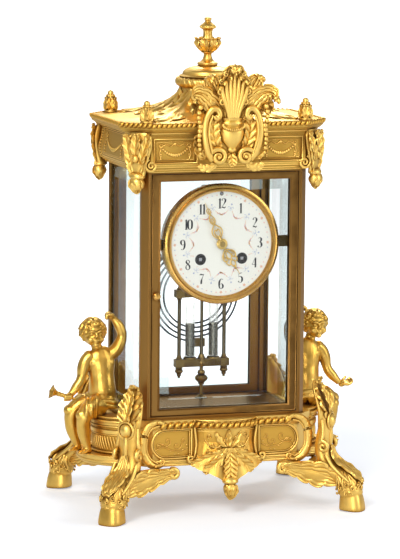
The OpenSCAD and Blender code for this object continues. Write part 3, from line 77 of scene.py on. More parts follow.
def span(n, a=0, b=1):
    return np.linspace(a, b, n)


def rows(text):
    """Rows of numbers, parted by commas."""
    return [tuple(map(float, r.split())) for r in text.split(",")]


def on(place, text, n=3):
    """Rows of numbers, the first n of each made a point by place."""
    return [(*place(*r[:n]), *r[n:]) for r in rows(text)]


def tangent(P, i, loop=False):
    last = len(P) - 1
    if loop:
        return unit(P[(i + 1) % (last + 1), :3] - P[i - 1, :3])
    return unit(P[min(i + 1, last), :3] - P[max(i - 1, 0), :3])


def curve(P, k):
    """Catmull-Rom through the rows of P, k samples a span."""
    P = np.array(P, float)
    out = []
    for i in range(len(P) - 1):
        a, b, c, d = P[max(i - 1, 0)], P[i], P[i + 1], P[min(i + 2, len(P) - 1)]
        for t in np.arange(k) / k:
            out.append(0.5 * (2 * b + (c - a) * t + (2 * a - 5 * b + 4 * c - d) * t * t
                              + (3 * b - a - 3 * c + d) * t ** 3))
    return np.array(out + [P[-1]])


def placed(name, data):
    """A new object in the scene."""
    o = bpy.data.objects.new(name, data)
    bpy.context.scene.collection.objects.link(o)
    return o


class Form:
    """A mesh in the making: its points, faces and number of points."""

    def __init__(s):
        s.v, s.f, s.n = [], [], 0

    def add(s, v, f):
        v = np.asarray(v, float).reshape(-1, 3)
        s.v.append(v)
        s.f += [tuple(i + s.n for i in q) for q in f]
        s.n += len(v)
        return s

    def rings(s, R, loop=False):
        """Rings of points joined into a closed skin."""
        R = np.asarray(R, float)
        m, n = R.shape[:2]
        f = [(j * n + k, j * n + (k + 1) % n, (j + 1) % m * n + (k + 1) % n, (j + 1) % m * n + k)
             for j in range(m if loop else m - 1) for k in range(n)]
        if not loop:
            f += [tuple(range(n - 1, -1, -1)), tuple((m - 1) * n + k for k in range(n))]
        return s.add(R, f)

    def loft(s, st, side=X, n=10, sq=1.0):
        """Rounded form along stations x, y, z, half width, half thickness; sq under 1 squares it."""
        P = curve(st, 4)
        a = around(n)
        ca = np.sign(np.cos(a)) * abs(np.cos(a)) ** sq
        sa = np.sign(np.sin(a)) * abs(np.sin(a)) ** sq
        R = []
        for i, p in enumerate(P):
            T = tangent(P, i)
            S = unit(side - (side @ T) * T)
            w, t = max(p[3], 0.05), max(p[4], 0.05)
            R.append(p[:3] + w * np.outer(ca, S) + t * np.outer(sa, np.cross(T, S)))
        return s.rings(R)

    def wire(s, P, n=8, r=0, loop=False, k=0):
        """Round bar of n sides along points x, y, z, of radius r or the one in the fourth place."""
        P = np.array(P, float)
        if P.shape[1] == 3:
            P = np.hstack([P, np.full((len(P), 1), r)])
        if k:
            P = curve(P, k)
        a = around(n)
        S, R = None, []
        for i, p in enumerate(P):
            T = tangent(P, i, loop)
            if S is None:
                S = unit(np.cross(T, Z if abs(T[2]) < 0.9 else X))
            S = unit(S - (S @ T) * T)
            R.append(p[:3] + p[3] * (np.outer(np.cos(a), S) + np.outer(np.sin(a), np.cross(T, S))))
        return s.rings(R, loop)

    def tube(s, P, n=8, r=0, k=4):
        """The same along a curve through the points."""
        return s.wire(P, n, r, k=k)

    def ball(s, at, size, n=12, M=None):
        """Ellipsoid; M turns it."""
        m = max(n // 2, 4)
        a, b = around(n), np.clip(np.arange(m + 1), 0.02, m - 0.02) * pi / m - pi / 2
        R = [np.outer(np.cos(b), np.cos(a)), np.outer(np.cos(b), np.sin(a)), np.outer(np.sin(b), np.ones(n))]
        R = np.stack(R, 2) * np.array(size, float)
        if M is not None:
            R = R @ np.array(M).T
        return s.rings(R + np.array(at, float))

    def turn(s, prof, at=(0, 0, 0), n=48, wob=None):
        """Turned form about the vertical through at; wob(angle, z) scales the radius."""
        a = around(n)
        R = []
        for r, z in prof:
            r = max(r, 0.02) * (wob(a, z) if wob else 1)
            R.append(np.stack([r * np.cos(a), r * np.sin(a), np.full(n, z)], 1))
        return s.rings(np.array(R) + np.array(at, float))

    def sheet(s, G, t):
        """Closed shell from a grid of points, t thick."""
        G = np.asarray(G, float)
        m, n = G.shape[:2]
        N = np.cross(np.gradient(G, axis=0), np.gradient(G, axis=1))
        N /= np.maximum(np.linalg.norm(N, axis=2, keepdims=True), 1e-9)
        A, B = G + N * t * 0.5, G - N * t * 0.5
        q = [(j * n + k, (j + 1) * n + k, (j + 1) * n + k + 1, j * n + k + 1)
             for j in range(m - 1) for k in range(n - 1)]
        o = m * n
        f = q + [tuple(i + o for i in x[::-1]) for x in q]
        edge = [j * n for j in range(m)] + [(m - 1) * n + k for k in range(1, n)]
        edge += [j * n + n - 1 for j in range(m - 2, -1, -1)] + list(range(n - 2, 0, -1))
        f += [(b, a, a + o, b + o) for a, b in zip(edge, edge[1:] + edge[:1])]
        return s.add(np.concatenate([A.reshape(-1, 3), B.reshape(-1, 3)]), f)

    def leaf(s, spine, side, lobes, t, groove, nu, nv, depth=0.35, arch=0.25, flow=0.0):
        """Acanthus leaf t thick along spine stations x, y, z, half width.

        nu samples a lobe and nv across, depth of the cuts between lobes, height of its grooves and arch,
        and the share of the grooves that flow along it."""
        P = curve(spine, max(4, int(nu * lobes / max(len(spine) - 1, 1))))
        m = len(P)
        v = span(nv, -1)
        av = np.abs(v)
        G = np.zeros((m, nv, 3))
        for i, u in enumerate(span(m)):
            T = tangent(P, i)
            S = unit(side - (side @ T) * T)
            w = P[i, 3]
            ph = lobes * u
            part = ph - floor(ph) if u < 1 else 1.0
            lobe = 1 - depth * (1 - sin(pi * min(part, 1) ** 0.75) ** 0.7)
            rib = np.cos(2 * pi * (ph - 0.75 * av)) * np.minimum(av * 2.2, 1) * groove * (1 - flow)
            rib = rib + flow * groove * np.cos(6 * pi * av + 1.2 * ph)
            mid = np.exp(-(v / 0.13) ** 2) * groove * 0.9
            up = w * arch * (1 - v * v) + rib + mid
            G[i] = P[i, :3] + np.outer(v * w * lobe, S) + np.outer(up, np.cross(T, S)) \
                + np.outer(0.3 * w * av ** 1.5, T)
        return s.sheet(G, t)

    def scroll(s, at, A, r1, r0, start, sweep, w, k, n=8, w0=0.6):
        """Spiral bar in the upright plane of A round at, its radius w falling to w0 of it."""
        t = span(k)
        a = np.radians(start + sweep * t)
        r = r1 + (r0 - r1) * t ** 0.8
        P = np.array(at, float) + np.outer(r * np.cos(a), A) + np.outer(r * np.sin(a), Z)
        return s.wire(np.hstack([P, (w * (1 + (w0 - 1) * t))[:, None]]), n)

    def joined(s):
        return np.concatenate(s.v)

    def merge(s, other):
        s.add(other.joined(), other.f)

    def mirrored(s, y=False):
        """Itself with its mirror image across x = 0, or with those across x = 0, y = 0 and both."""
        v, f = s.joined(), list(s.f)
        for sx, sy in ((-1, 1), (1, -1), (-1, -1)) if y else ((-1, 1),):
            s.add(v * arr(sx, sy, 1), [q[::-1] for q in f] if sx * sy < 0 else f)
        return s

    def build(s, name, mat, voxel=0, passes=0, body="clock", soft=True):
        me = bpy.data.meshes.new(name)
        me.from_pydata((s.joined() * 0.001).tolist(), [], s.f)
        me.update()
        o = placed(name, me)
        if voxel:
            m = o.modifiers.new("voxel", "REMESH")
            m.mode, m.voxel_size, m.use_smooth_shade = "VOXEL", voxel * 0.001, True
            m = o.modifiers.new("soft", "SMOOTH")
            m.iterations, m.factor = passes, 0.5
            seen = o.evaluated_get(bpy.context.evaluated_depsgraph_get())
            me = bpy.data.meshes.new_from_object(seen)
            o.modifiers.clear()
            o.data = me
        me.materials.append(mat)
        if soft:
            me.shade_smooth()
        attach(o, body)
        return o


# Materials
class Mat:
    """A node tree, and short ways to fill it."""

    def __init__(s, name="", tree=None):
        s.t = tree
        if tree is None:
            s.m = bpy.data.materials.new(name)
            s.m.use_nodes = True
            s.t = s.m.node_tree

    def feed(s, socket, value):
        """Links a socket, or sets its value."""
        if isinstance(value, bpy.types.NodeSocket):
            s.t.links.new(value, socket)
        elif socket.type == "RGBA":
            socket.default_value = (*value, 1)
        else:
            socket.default_value = value

    def fill(s, n, inputs):
        for a, b in inputs.items():
            s.feed(n.inputs[a], b)

    def new(s, kind, inputs=None, **k):
        """A node with its properties and inputs set."""
        n = s.t.nodes.new("ShaderNode" + kind)
        for a, b in k.items():
            setattr(n, a, b)
        s.fill(n, inputs or {})
        return n

    def surface(s, inputs):
        s.fill(s.t.nodes["Principled BSDF"], inputs)

    def output(s, shader):
        s.fill(s.t.nodes["Material Output"], {0: shader.outputs[0]})

    def coords(s, kind="Object"):
        return s.new("TexCoord").outputs[kind]

    def math(s, op, *values):
        return s.new("Math", dict(enumerate(values)), operation=op).outputs[0]

    def ramp(s, fac, stops):
        n = s.new("ValToRGB", {0: fac})
        e = n.color_ramp.elements
        while len(e) < len(stops):
            e.new(0.5)
        for x, (p, *c) in zip(e, stops):
            x.position = p
            x.color = (*c, 1)
        return n.outputs[0]

    def noise(s, scale, detail=3, rough=0.5, vec=None):
        vec = s.coords() if vec is None else vec
        return s.new("TexNoise", {"Scale": scale, "Detail": detail, "Roughness": rough,
                                  "Vector": vec}).outputs["Fac"]

    def mix(s, fac, a, b, mode="MIX"):
        return s.new("Mix", {0: fac, 6: a, 7: b}, data_type="RGBA", blend_type=mode).outputs[2]

    def blend(s, fac, a, b):
        """Two shaders mixed."""
        return s.new("MixShader", {0: fac, 1: a.outputs[0], 2: b.outputs[0]})

    def seen_direct(s):
        """One where the camera looks, also through glass."""
        path = s.new("LightPath").outputs
        return s.math("MAXIMUM", path["Is Camera Ray"], path["Is Transmission Ray"])

    def bump(s, height, strength):
        n = s.new("Bump", {"Strength": strength, "Distance": 0.0002, "Height": height})
        s.surface({"Normal": n.outputs[0]})


def metal(name, tones, hollow_shade_and_dirt, bump, grain=900, ao=0.004, brushed=None):
    """Worn metal: bright on edges and swellings, brown and duller in the hollows that ambient occlusion
    finds;
    that darkening is painted shade as well as dirt.

    tones holds the colours of its high places, its ground and its painted shade and dirt, and its least and
    most roughness."""
    high, low, shade_and_dirt_tone, rough = rows(tones)
    m = Mat(name)
    big = m.noise(38, 4, 0.6)
    fine = m.noise(grain, 3, 0.6)
    # ambient occlusion darkens the hollows towards the brown tone: painted shade as well as dirt
    occ = m.new("AmbientOcclusion", {"Distance": ao}, samples=6)
    hollow = m.math("SUBTRACT", 1.0, occ.outputs["AO"])
    edge = m.math("SUBTRACT", m.new("NewGeometry").outputs["Pointiness"], 0.5)
    wear = m.math("ADD", m.math("MULTIPLY", big, 0.9), m.math("MULTIPLY", edge, 6.0))
    d = m.math("MULTIPLY", m.math("POWER", hollow, 1.25), hollow_shade_and_dirt)
    d = m.math("MINIMUM", m.math("MULTIPLY", d, m.math("ADD", fine, 0.75)), 1.0)
    r = m.math("MULTIPLY_ADD", fine, rough[1] - rough[0], rough[0])
    r = m.math("ADD", r, m.math("MULTIPLY", d, 0.25))
    r = m.math("ADD", r, m.math("MULTIPLY", big, 0.1))
    m.surface({"Base Color": m.mix(d, m.ramp(wear, [(0.25, *low), (0.62, *high)]), shade_and_dirt_tone),
               "Metallic": 1.0, "Roughness": r})
    h = m.math("ADD", m.math("MULTIPLY", fine, 0.6), big)
    if brushed:
        lines = m.new("Mapping", {"Scale": brushed, "Vector": m.coords()})
        h = m.math("ADD", h, m.noise(1.0, 2, 0.5, lines.outputs[0]))
    m.bump(h, bump)
    return m.m


gilt = metal("fire gilt bronze", "1 .66 .165, .78 .44 .075, .34 .16 .02, .24 .44", 1.35, 0.3, 1500, 0.005)
gilt_dark = metal("gilt ground, matted", "1 .67 .175, .84 .51 .10, .28 .13 .02, .4 .6", 1.2, 0.6, 2600)
figure = metal("figure gilding", ".88 .555 .125, .62 .335 .05, .24 .11 .015, .2 .34", 1.3, 0.2, 1500)
# darker copy of the gilding for the cornice and its frieze: painted shade under the cornice's overhang, with
# a matted, rougher finish
frieze = metal("matted frieze gilding", ".66 .405 .08, .46 .245 .036, .26 .12 .02, .38 .55", 1.35, 0.5, 2200)
brown = metal("lacquered case brass", ".35 .18 .045, .165 .08 .02, .06 .03 .01, .2 .36", 0.8, 0.06, 700,
              brushed=(900, 900, 14))
ring = metal("polished bezel brass", ".80 .455 .115, .56 .28 .055, .16 .08 .02, .16 .28", 0.7, 0.05)
plate = metal("movement brass", ".70 .50 .18, .52 .35 .11, .10 .06 .02, .25 .4", 0.7, 0.06,
              brushed=(700, 700, 60))
dull = metal("pendulum brass", ".30 .20 .07, .16 .10 .04, .05 .03 .01, .3 .45", 0.8, 0.08)
steel = metal("arbor steel", ".44 .44 .46, .28 .28 .30, .05 .045 .04, .2 .34", 0.6, 0.05)
blue = metal("blued gong wire", ".10 .105 .13, .05 .05 .065, .02 .02 .02, .25 .4", 0.5, 0.08)
hands = metal("gilt hands", ".80 .55 .18, .55 .33 .08, .14 .07 .02, .2 .34", 0.7, 0.1, ao=0.0012)
dull_dark = metal("dark bronze rods", ".15 .12 .07, .08 .065 .04, .03 .02 .01, .3 .45", 0.6, 0.05)
quick = metal("mercury", ".27 .255 .21, .17 .16 .13, .1 .1 .1, .06 .12", 0.2, 0.01)


def enamel():
    m = Mat("fired enamel")
    tone = m.mix(m.math("MULTIPLY", m.noise(60, 3), 0.5), (0.88, 0.87, 0.80), (0.83, 0.82, 0.75))
    m.surface({"Base Color": tone, "Roughness": 0.22, "Coat Weight": 0.5, "Coat Roughness": 0.08})
    m.bump(m.noise(140, 2), 0.05)
    return m.m


def paint(name, c, rough=0.35):
    m = Mat(name)
    light = tuple(min(1, x * 1.5 + 0.02) for x in c)
    m.surface({"Base Color": m.mix(m.math("MULTIPLY", m.noise(1800, 2), 0.5), c, light), "Roughness": rough})
    return m.m


def glass(name, tint, edge, amount):
    """Clear in its flat faces, tinted and slightly bent in its bevels and edges."""
    m = Mat(name)
    own = m.new("VectorTransform", {0: m.new("NewGeometry").outputs["True Normal"]},
                vector_type="NORMAL", convert_from="WORLD", convert_to="OBJECT")
    xyz = m.new("SeparateXYZ", {0: own.outputs[0]}).outputs
    facing = m.math("MAXIMUM", m.math("ABSOLUTE", xyz[0]), m.math("ABSOLUTE", xyz[1]))
    mirror = m.math("MULTIPLY", m.new("Fresnel", {0: 1.4}).outputs[0], 0.35)
    clear = m.blend(mirror, m.new("BsdfTransparent", {0: tint}), m.new("BsdfGlossy", {"Roughness": 0.015}))
    tone = m.mix(m.noise(90, 3), edge, tuple(x * 0.93 for x in edge))
    bent = m.new("BsdfGlass", {"IOR": 1.45, "Roughness": 0.02, "Color": tone})
    bevel = m.blend(amount, m.new("BsdfTransparent", {0: edge}), bent)
    m.output(m.blend(m.math("GREATER_THAN", facing, 0.9985), bevel, clear))
    m.surface({"Base Color": tint, "Transmission Weight": 1.0, "Roughness": 0.02})
    return m.m


pane = glass("bevelled plate glass", (0.99, 0.997, 0.994), (0.87, 0.935, 0.905), 0.16)
jar = glass("jar glass", (0.97, 0.985, 0.98), (0.93, 0.93, 0.915), 0.22)
door_pane = glass("bevelled door glass", (0.99, 0.997, 0.994), (0.74, 0.80, 0.785), 0.22)
enamel_m = enamel()
ink = paint("numeral black", (0.012, 0.012, 0.016))
rose = paint("garland rose", (0.66, 0.27, 0.22))
sky = paint("garland blue", (0.28, 0.33, 0.50))
leafg = paint("garland gold", (0.62, 0.42, 0.16))
# black of the winding holes: painted shade
dark = paint("winding hole black", (0.015, 0.013, 0.012), 0.5)

# Which finish each CAD piece gets
use = {
    # the cornice takes the darker frieze gilding, which is painted shade
    frieze: "cornice",
    gilt: "base_casting apron_leaf foot_front_left foot_front_right foot_rear_left foot_rear_right seats "
          "putto_left putto_right roof roof_cap finial crest cornice_masks corner_finials",
    brown: "case_floor corner_posts top_frame front_door_frame rear_door_frame",
    ring: "bezel front_door_knob rear_door_knob",
    plate: "front_plate rear_plate plate_pillars going_barrel strike_barrel second_wheel centre_wheel "
           "third_wheel escape_wheel strike_wheel strike_fly cannon_pinion hour_wheel minute_wheel",
    dull: "pendulum rating_nut back_cock movement_brackets gong_stand",
    steel: "going_arbor strike_arbor going_click strike_click hammer pallets regulator_arbor",
    blue: "gong", hands: "minute_hand hour_hand", enamel_m: "dial", quick: "mercury", jar: "mercury_jars",
    pane: "side_glass_left side_glass_right rear_door_glass", door_pane: "front_door_glass"}
for m, names in use.items():
    for n in names.split():
        nodes[n].data.materials.clear()
        nodes[n].data.materials.append(m)

for names, width in (
        ("base_casting cornice", 0.5),
        ("corner_posts front_door_frame rear_door_frame case_floor top_frame movement_brackets", 0.35),
        ("bezel roof_cap finial seats corner_finials", 0.25)):
    for n in names.split():
        b = nodes[n].modifiers.new("soft edges", "BEVEL")
        b.width, b.segments, b.limit_method, b.angle_limit = width * 0.001, 2, "ANGLE", radians(35)
        b.harden_normals = False

# Carved ornament


def rope(F, path, pitch, r):
    """Gadroons along a path, slanted 48 degrees."""
    path = np.array(path, float)
    seg = np.linalg.norm(np.diff(path, axis=0), axis=1)
    L = np.concatenate([[0], np.cumsum(seg)])
    n = max(2, int(L[-1] / pitch))
    for i in range(n):
        d = (i + 0.5) * L[-1] / n
        j = min(np.searchsorted(L, d) - 1, len(seg) - 1)
        p = path[j] + (path[j + 1] - path[j]) * (d - L[j]) / seg[j]
        T = unit(path[j + 1] - path[j])
        up = cos(radians(48)) * Z + sin(radians(48)) * T
        out = np.cross(T, Z)
        F.ball(p, r, 8, np.stack([unit(np.cross(up, out)), unit(out), up], 1))


def canted(hw, hd, c, z):
    """Plan of a rectangle with its corners cut."""
    return [(-hw + c, -hd, z), (hw - c, -hd, z), (hw, -hd + c, z), (hw, hd - c, z), (hw - c, hd, z),
            (-hw + c, hd, z), (-hw, hd - c, z), (-hw, -hd + c, z)]


def rectangle(cx, y, cz, hw, hz):
    """Closed upright rectangle."""
    return [(cx + i * hw, y, cz + j * hz) for i, j in ((-1, -1), (1, -1), (1, 1), (-1, 1), (-1, -1))]


# the cornice's swelling line: share of its height, and share of its overhang
line = rows("0 .16, .05 .3, .12 .5, .24 .6, .38 .58, .55 .47, .72 .42, .78 .5, .83 .8, .88 .97, .93 1, "
            ".96 .92, 1 .8")


def cornice_out(f):
    return float(np.interp(f, *zip(*line)))


def cornice_ring(f, inset):
    o = cornice_out(f)
    p = canted(HW + OX * o - inset, HD + OY * o - inset, 5 + 19 * o, TOP + HIGH * f)
    return p + p[:1]


# Cornice rope and mouldings
F = Form()
rope(F, cornice_ring(0.962, -0.9), 4.6, (1.9, 2.2, 3.3))
F.build("cornice_rope", gilt)
F = Form()
for f, q, r in rows(".975 .4 .8, .8 .2 .8, .015 .1 .55, .06 .1 .55, .115 .2 .55, .16 .4 .55"):
    F.wire(cornice_ring(f, q), 6, r)
F.build("cornice_fillets", gilt)

# Frieze panels with a swag each, front and back
F, G, H = Form(), Form(), Form()
cz = TOP + HIGH * 0.44
for s in SIDES:
    for e in SIDES:
        cx, y = s * 49.3, e * (HD + OY * 0.58)

        def p(x, z):
            return cx + x, y - e * 1.7, cz + z

        F.wire(rectangle(cx, y, cz, 19.8, 10.7), 6, 0.7)
        F.wire(rectangle(cx, y - e * 1.9, cz, 17, 7.9), 6, 0.45)
        for i, t in enumerate(span(15, -1)):
            G.ball(p(13 * t, 3.5 - 7.5 * (1 - t * t)), (1.2, 0.9, 0.7 + 1.1 * (1 - abs(i - 7) / 9)), 8)
        for k in SIDES:
            G.scroll(p(k * 12.5, 4.6), X * k, 2.6, 0.6, -90, 400, 0.55, 24, 6)
            for text, r in (("13 2, 14.6 -2.5, 13.2 -6.5", 0.6), ("1 6.5, 4 4.2, 8 6.2, 11 4.4", 0.5)):
                G.tube([p(k * x, z) for x, z in rows(text)], 6, r)
            for j in range(3):
                G.ball(p(k * 13.2, -3 - 2 * j), (0.9, 0.7, 0.9), 6)
        G.ball(p(0, 6.2), (1.3, 0.9, 1.3), 8)
        H.add(rectangle(cx, y - e * 1.86, TOP + 19.4, 18.9, 9.8)[:4], [(0, 1, 2, 3)[::-e]])
F.build("frieze_frames", gilt)
G.build("frieze_swags", gilt)
# the panels' ground is a sheet of the darker frieze gilding: painted shade
H.build("frieze_ground_painted_shade", frieze, soft=False)

# Side frieze: sunk panel lines and a swag following the swelling
F = Form()
for s in SIDES:
    def side(y, f, lift=0.0):
        return arr(s * (HW + OX * cornice_out(f) + lift), y, TOP + HIGH * f)

    for a, lo, hi, r in rows("36 .16 .74 .8, 33 .2 .7 .5"):
        F.wire([side(y, lo) for y in span(12, -a, a)] + [side(a, f) for f in span(8, lo, hi)]
               + [side(y, hi) for y in span(12, a, -a)] + [side(-a, f) for f in span(8, hi, lo)], 6, r)
    for t in span(21, -1):
        F.ball(side(24 * t, 0.56 - 0.22 * (1 - t * t), 0.2), (0.9, 1.3, 0.8 + 1.3 * (1 - abs(t))), 8)
    for k in SIDES:
        F.scroll(side(k * 24, 0.6, 0.2), Y * k, 2.8, 0.6, -90, 400, 0.6, 24, 6)
        for j in range(5):
            F.ball(side(k * 25, 0.5 - 0.06 * j, 0.2), (0.9, 1.1, 1.2 - 0.1 * j), 6)
F.build("side_swags", gilt)

# Corner masks: a leaf over the cant with smaller ones on it, a pearl, a hanging bud; a volute on the frieze
F, H = Form(), Form()
# half the cut of the corner where the overhang is at 0.6
cut = (5 + 19 * 0.6) / 2
far = arr(cut - HW - OX * 0.6, cut - HD - OY * 0.6, 0)
dg, ac = unit(arr(-1, -1, 0)), unit(arr(1, -1, 0))


def down(z, o, k=0.0):
    """A point of the left front corner, z above the frieze's foot, o outwards and k to its side."""
    return far + dg * o + Z * (TOP + z) + ac * k


spine = rows("35 1.4 9.4, 30 2.6 12.4, 23 3.8 13.2, 15 4.6 11.4, 8 4.8 9, 1 4.2 7.6, -3 3.4 6.4")
F.loft([(*down(z, o - 1.8), w, 3.4) for z, o, w in spine], ac, 18)
F.leaf([(*down(z, o + 1.4), w) for z, o, w in spine], -ac, 5, 1.4, 0.65, 10, 33, 0.16, 0.14, 0.5)
F.leaf(on(down, "12 7 0 2.4, 20 8.4 0 4.6, 27 8.2 0 4.6, 33 6.6 0 3, 35 8 0 1.4"), ac,
       4, 1.2, 0.5, 8, 11, 0.2, 0.3)
for k in SIDES:
    F.leaf([(*down(z, o, k * q), w) for z, o, q, w in
            rows("8 6.4 4 2, 15 7.4 6.4 3.6, 23 7 8.6 4.2, 30 5.4 10.4 3.2, 34 5.6 12.4 1.6")],
           ac, 4, 1.3, 0.5, 8, 11, 0.16, 0.3)
F.ball(down(13, 7.6), (3.0, 3.0, 3.4), 12)
F.loft(on(down, "-.5 3.4 0 5.8 4.8, -3 3.8 0 7.4 6, -5 3.6 0 5.4 4.8"), ac, 16)
F.loft(on(down, "-4 3.8 0 4.6 4.2, -7.6 4.6 0 6.8 6.2, -12 4.4 0 6.2 5.6, -15.4 3.6 0 3.2 3, "
                "-17.4 3.4 0 .8 .8"), ac, 16)
for k in (-1, 0, 1):
    F.leaf([(*down(z, o - abs(k) * i, k * q), w) for z, o, i, q, w in
            rows("-5 8 0 3.2 1.6, -9 10.6 2 4.8 2.6, -14 8.8 2 3.4 1.8, -18 5 0 1 .6")],
            -ac, 3, 0.8, 0.3, 6, 7)
F.mirrored(True).build("corner_masks", gilt)
for e in SIDES:
    def p(x, q, z):
        return x, e * (HD + OY * q), TOP + z

    H.scroll(p(-71.6, 0.52, 6.6), X, 6.4, 1.0, 110, 640, 1.5, 60)
    H.tube(on(p, "-77.4 .5 8, -77 .5 18, -75 .44 29, -74 .5 35"), 8, 1.1)
    for j in range(11):
        f = 0.13 + 0.055 * j
        H.ball((-(HW + OX * cornice_out(f) + 0.2), e * 40, TOP + HIGH * f), (1.1, 2.6, 0.95), 8)
H.mirrored().build("corner_scrolls", gilt)
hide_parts("cornice_masks")


# Roof: leaves that flow down from the neck
def roof_at(a, t, lift):
    d = arr(cos(a), sin(a), 0)
    e = min((HW + OX * 0.78) / max(abs(d[0]), 1e-3), (HD + OY * 0.78) / max(abs(d[1]), 1e-3),
            (HW + HD - 11.2) / (abs(d[0]) + abs(d[1])))
    r = e + (25 - e) * sin(pi / 2 * t)
    return d * (r + lift * 0.5) + Z * (CORN + (ROOF - CORN) * t ** 1.6 + lift)


F = Form()
c = atan2(56, 74)
for base, wide, t0, lobes in [(a, 0.42, 0.06, 6) for a in (c, pi - c, c + pi, 2 * pi - c)] \
        + [(0, 0.34, 0.3, 5), (pi, 0.34, 0.3, 5), (pi / 2, 0.5, 0.3, 4), (-pi / 2, 0.5, 0.3, 4)]:
    G = np.zeros((46, 17, 3))
    for i, u in enumerate(span(46)):
        t = 0.97 + (t0 - 0.97) * u
        ph = lobes * u
        lobe = 1 - 0.3 * (1 - sin(pi * (ph % 1) ** 0.75) ** 0.7)
        w = wide * (sin(pi * min(1, 0.22 + 0.78 * u) ** 0.8) ** 0.7) * lobe + 0.015
        for j, v in enumerate(span(17, -1)):
            q = abs(v)
            wave = cos(2 * pi * (ph * 0.5 - 1.4 * q)) * min(1, q * 2)
            h = 1.5 * (1 - v * v) + 0.9 * wave + exp(-(v / 0.14) ** 2)
            G[i, j] = roof_at(base + v * w, min(max(t - 0.07 * q ** 1.5, 0.02), 0.99), max(h, -0.4))
    F.sheet(G[:, ::-1], 0.8)
F.build("roof_leaves", gilt)

# Cap: ribboned collar
F = Form()
for a in around(30):
    M = Matrix.Rotation(a, 3, "Z") @ Matrix.Rotation(radians(38), 3, "X")
    F.ball((26.4 * cos(a), 26.4 * sin(a), ROOF + 6.3), (2.9, 2.7, 4.6), 10, M)
F.turn([(24.8, ROOF + 10.5), (25.6, ROOF + 11.2), (24.8, ROOF + 12)], n=64)
F.build("collar_ribbon", gilt)


def stands(c, a):
    """The place function of a leaf that stands at c, turned to the angle a: outwards and up."""
    return lambda r, z: c + arr(cos(a), sin(a), 0) * r + Z * z


# Urn finial with its leaf cup
F = Form()
F.turn(curve(rows("8.6 0, 9.2 1.4, 8.8 2.6, 6.2 3.8, 4.3 6.2, 3.5 9.6, 4.2 11, 6 11.8, 5 13, 6.4 14.6, "
                  "9.2 17, 10.2 19.4, 9.2 21.4, 6.2 22.8, 4.6 25, 4.1 29, 4.6 32, 6.6 33.2, 7.2 34.8, "
                  "6.4 36.2, 4.6 37.6, 3 39, 2.6 40, 3.4 41.4, 2.6 42.8, .4 43.4"), 3),
       (0, 0, CAP), 48, lambda a, z: 1 + 0.045 * np.cos(10 * a) * (14 < z < 22 or 23 < z < 32))
for a in around(8) + 0.2:
    p = stands(arr(0, 0, CAP), a)
    F.leaf(on(p, "5.2 12.5 1.8, 9.2 16 3.6, 11.2 20 3.9, 10.8 23.4 3, 12 24.6 1.2", 2),
           arr(-sin(a), cos(a), 0), 3, 0.8, 0.3, 7, 9)
    F.ball(p(6.8, 34.8), (1.2, 1.2, 1.0), 8)
F.build("urn_finial", gilt)
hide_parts("finial")

# Corner finials wrapped in leaves
F = Form()
for sx in SIDES:
    for sy in SIDES:
        c = arr(sx * (HW - 3), sy * (HD + 0.4), CORN)
        F.turn(rows("5.8 0, 6 1, 5 2.2, 5.2 5, 5 8, 4.2 11.4, 3 14.6, 2.5 16, 2.8 17, 2.4 18.6, .6 19.9"),
               c, 24)
        for a in around(6) + atan2(sy, sx):
            F.leaf(on(stands(c, a), "5.2 1.6 2.4, 5.9 5 3.3, 5.2 9 3, 4.8 12 2, 5.6 13 1", 2),
                   arr(-sin(a), cos(a), 0), 3, 0.9, 0.35, 7, 9, 0.2)
            F.ball(stands(c, a + 0.5)(3.2, 14.6), (1.2, 1.2, 1.6), 6)
F.build("corner_buds", gilt)
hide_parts("corner_finials")

# Crest: urn, shell of plumes, side leaves, scroll straps with volutes and drops
F, G = Form(), Form()
cy, cz = -HD - OY - 2.4, TOP + 6.5


def C(x, y, z):
    return x, cy + y, cz + z


F.turn(rows(".6 11, 3.5 12.4, 4.4 14, 3.6 15.2, 6.6 18, 9.6 23, 10.8 28, 11 31, 9.4 33, 8.6 35, 9.6 36.4, "
            "9.8 38, 8.4 39, 8.8 40.6, 9.6 42"),
       (0, cy, cz), 40, lambda a, z: 1 + 0.02 * np.cos(12 * a) * (18 < z < 26))
v = F.v[-1]
v[:, 1] = cy + (v[:, 1] - cy) * 0.55 - 1
F.leaf(on(C, "0 -1 38 6, 0 -2 48 10, 0 -3 60 14, 0 -3.5 71 14.6, 0 -3.5 80 10, 0 -6 86.4 7, 0 -9.4 87 5, "
             "0 -11 83 3"), X, 7, 1.8, 0.75, 10, 41, 0.2, 0.12, 0.75)
for k in range(-3, 4):
    # ribs of the shell: x a rib, y, z, z less a rib, radius, outward curl of the outer ones
    q, e = abs(k), (1 if k > 0 else -1)
    F.tube([(*C(k * a + e * s * (q > 1), b, c - q * d), w) for a, b, c, d, w, s in rows(
        "1.1 -3.8 40 0 1.7 0, 2.2 -5 52 0 2.1 0, 3.2 -5.6 63 1 2.3 0, 3.7 -6 73 2.6 2 0, "
        "4 -7.6 81 3.8 1.6 0, 4.3 -10 83 4.4 1.3 1.2, 4.4 -11.4 80 4.2 .8 2.2")], 9)
for k in SIDES:
    for q, (x, z) in enumerate(((10.6, 56), (12.8, 65), (11.8, 74), (8, 81))):
        F.scroll(C(k * x, -5.6 - 0.6 * q, z), X, 2.7, 0.6, 90, -430 * k, 1.0, 22, 7)
F.loft(on(C, "0 2.6 8 9 2, 0 1.6 22 19 2.4, 0 1.4 36 21 2.4, 0 1.4 46 17 2.4, 0 1.4 58 12 2.2, "
             "0 1.4 72 7 1.6"),
       X, 20)
deep = dict(lobes=6, t=1.7, groove=0.75, nu=11, nv=37, depth=0.22, arch=0.12, flow=0.75)
G.leaf(on(C, "4 0 38 5, 9 -1 49 9, 14 -1.5 60 10, 18.5 -2 70 8.4, 22 -4 77 6, 24 -8 78 4, 24.6 -10 75 2.2"),
       unit(arr(1, 0, -0.35)), **deep)
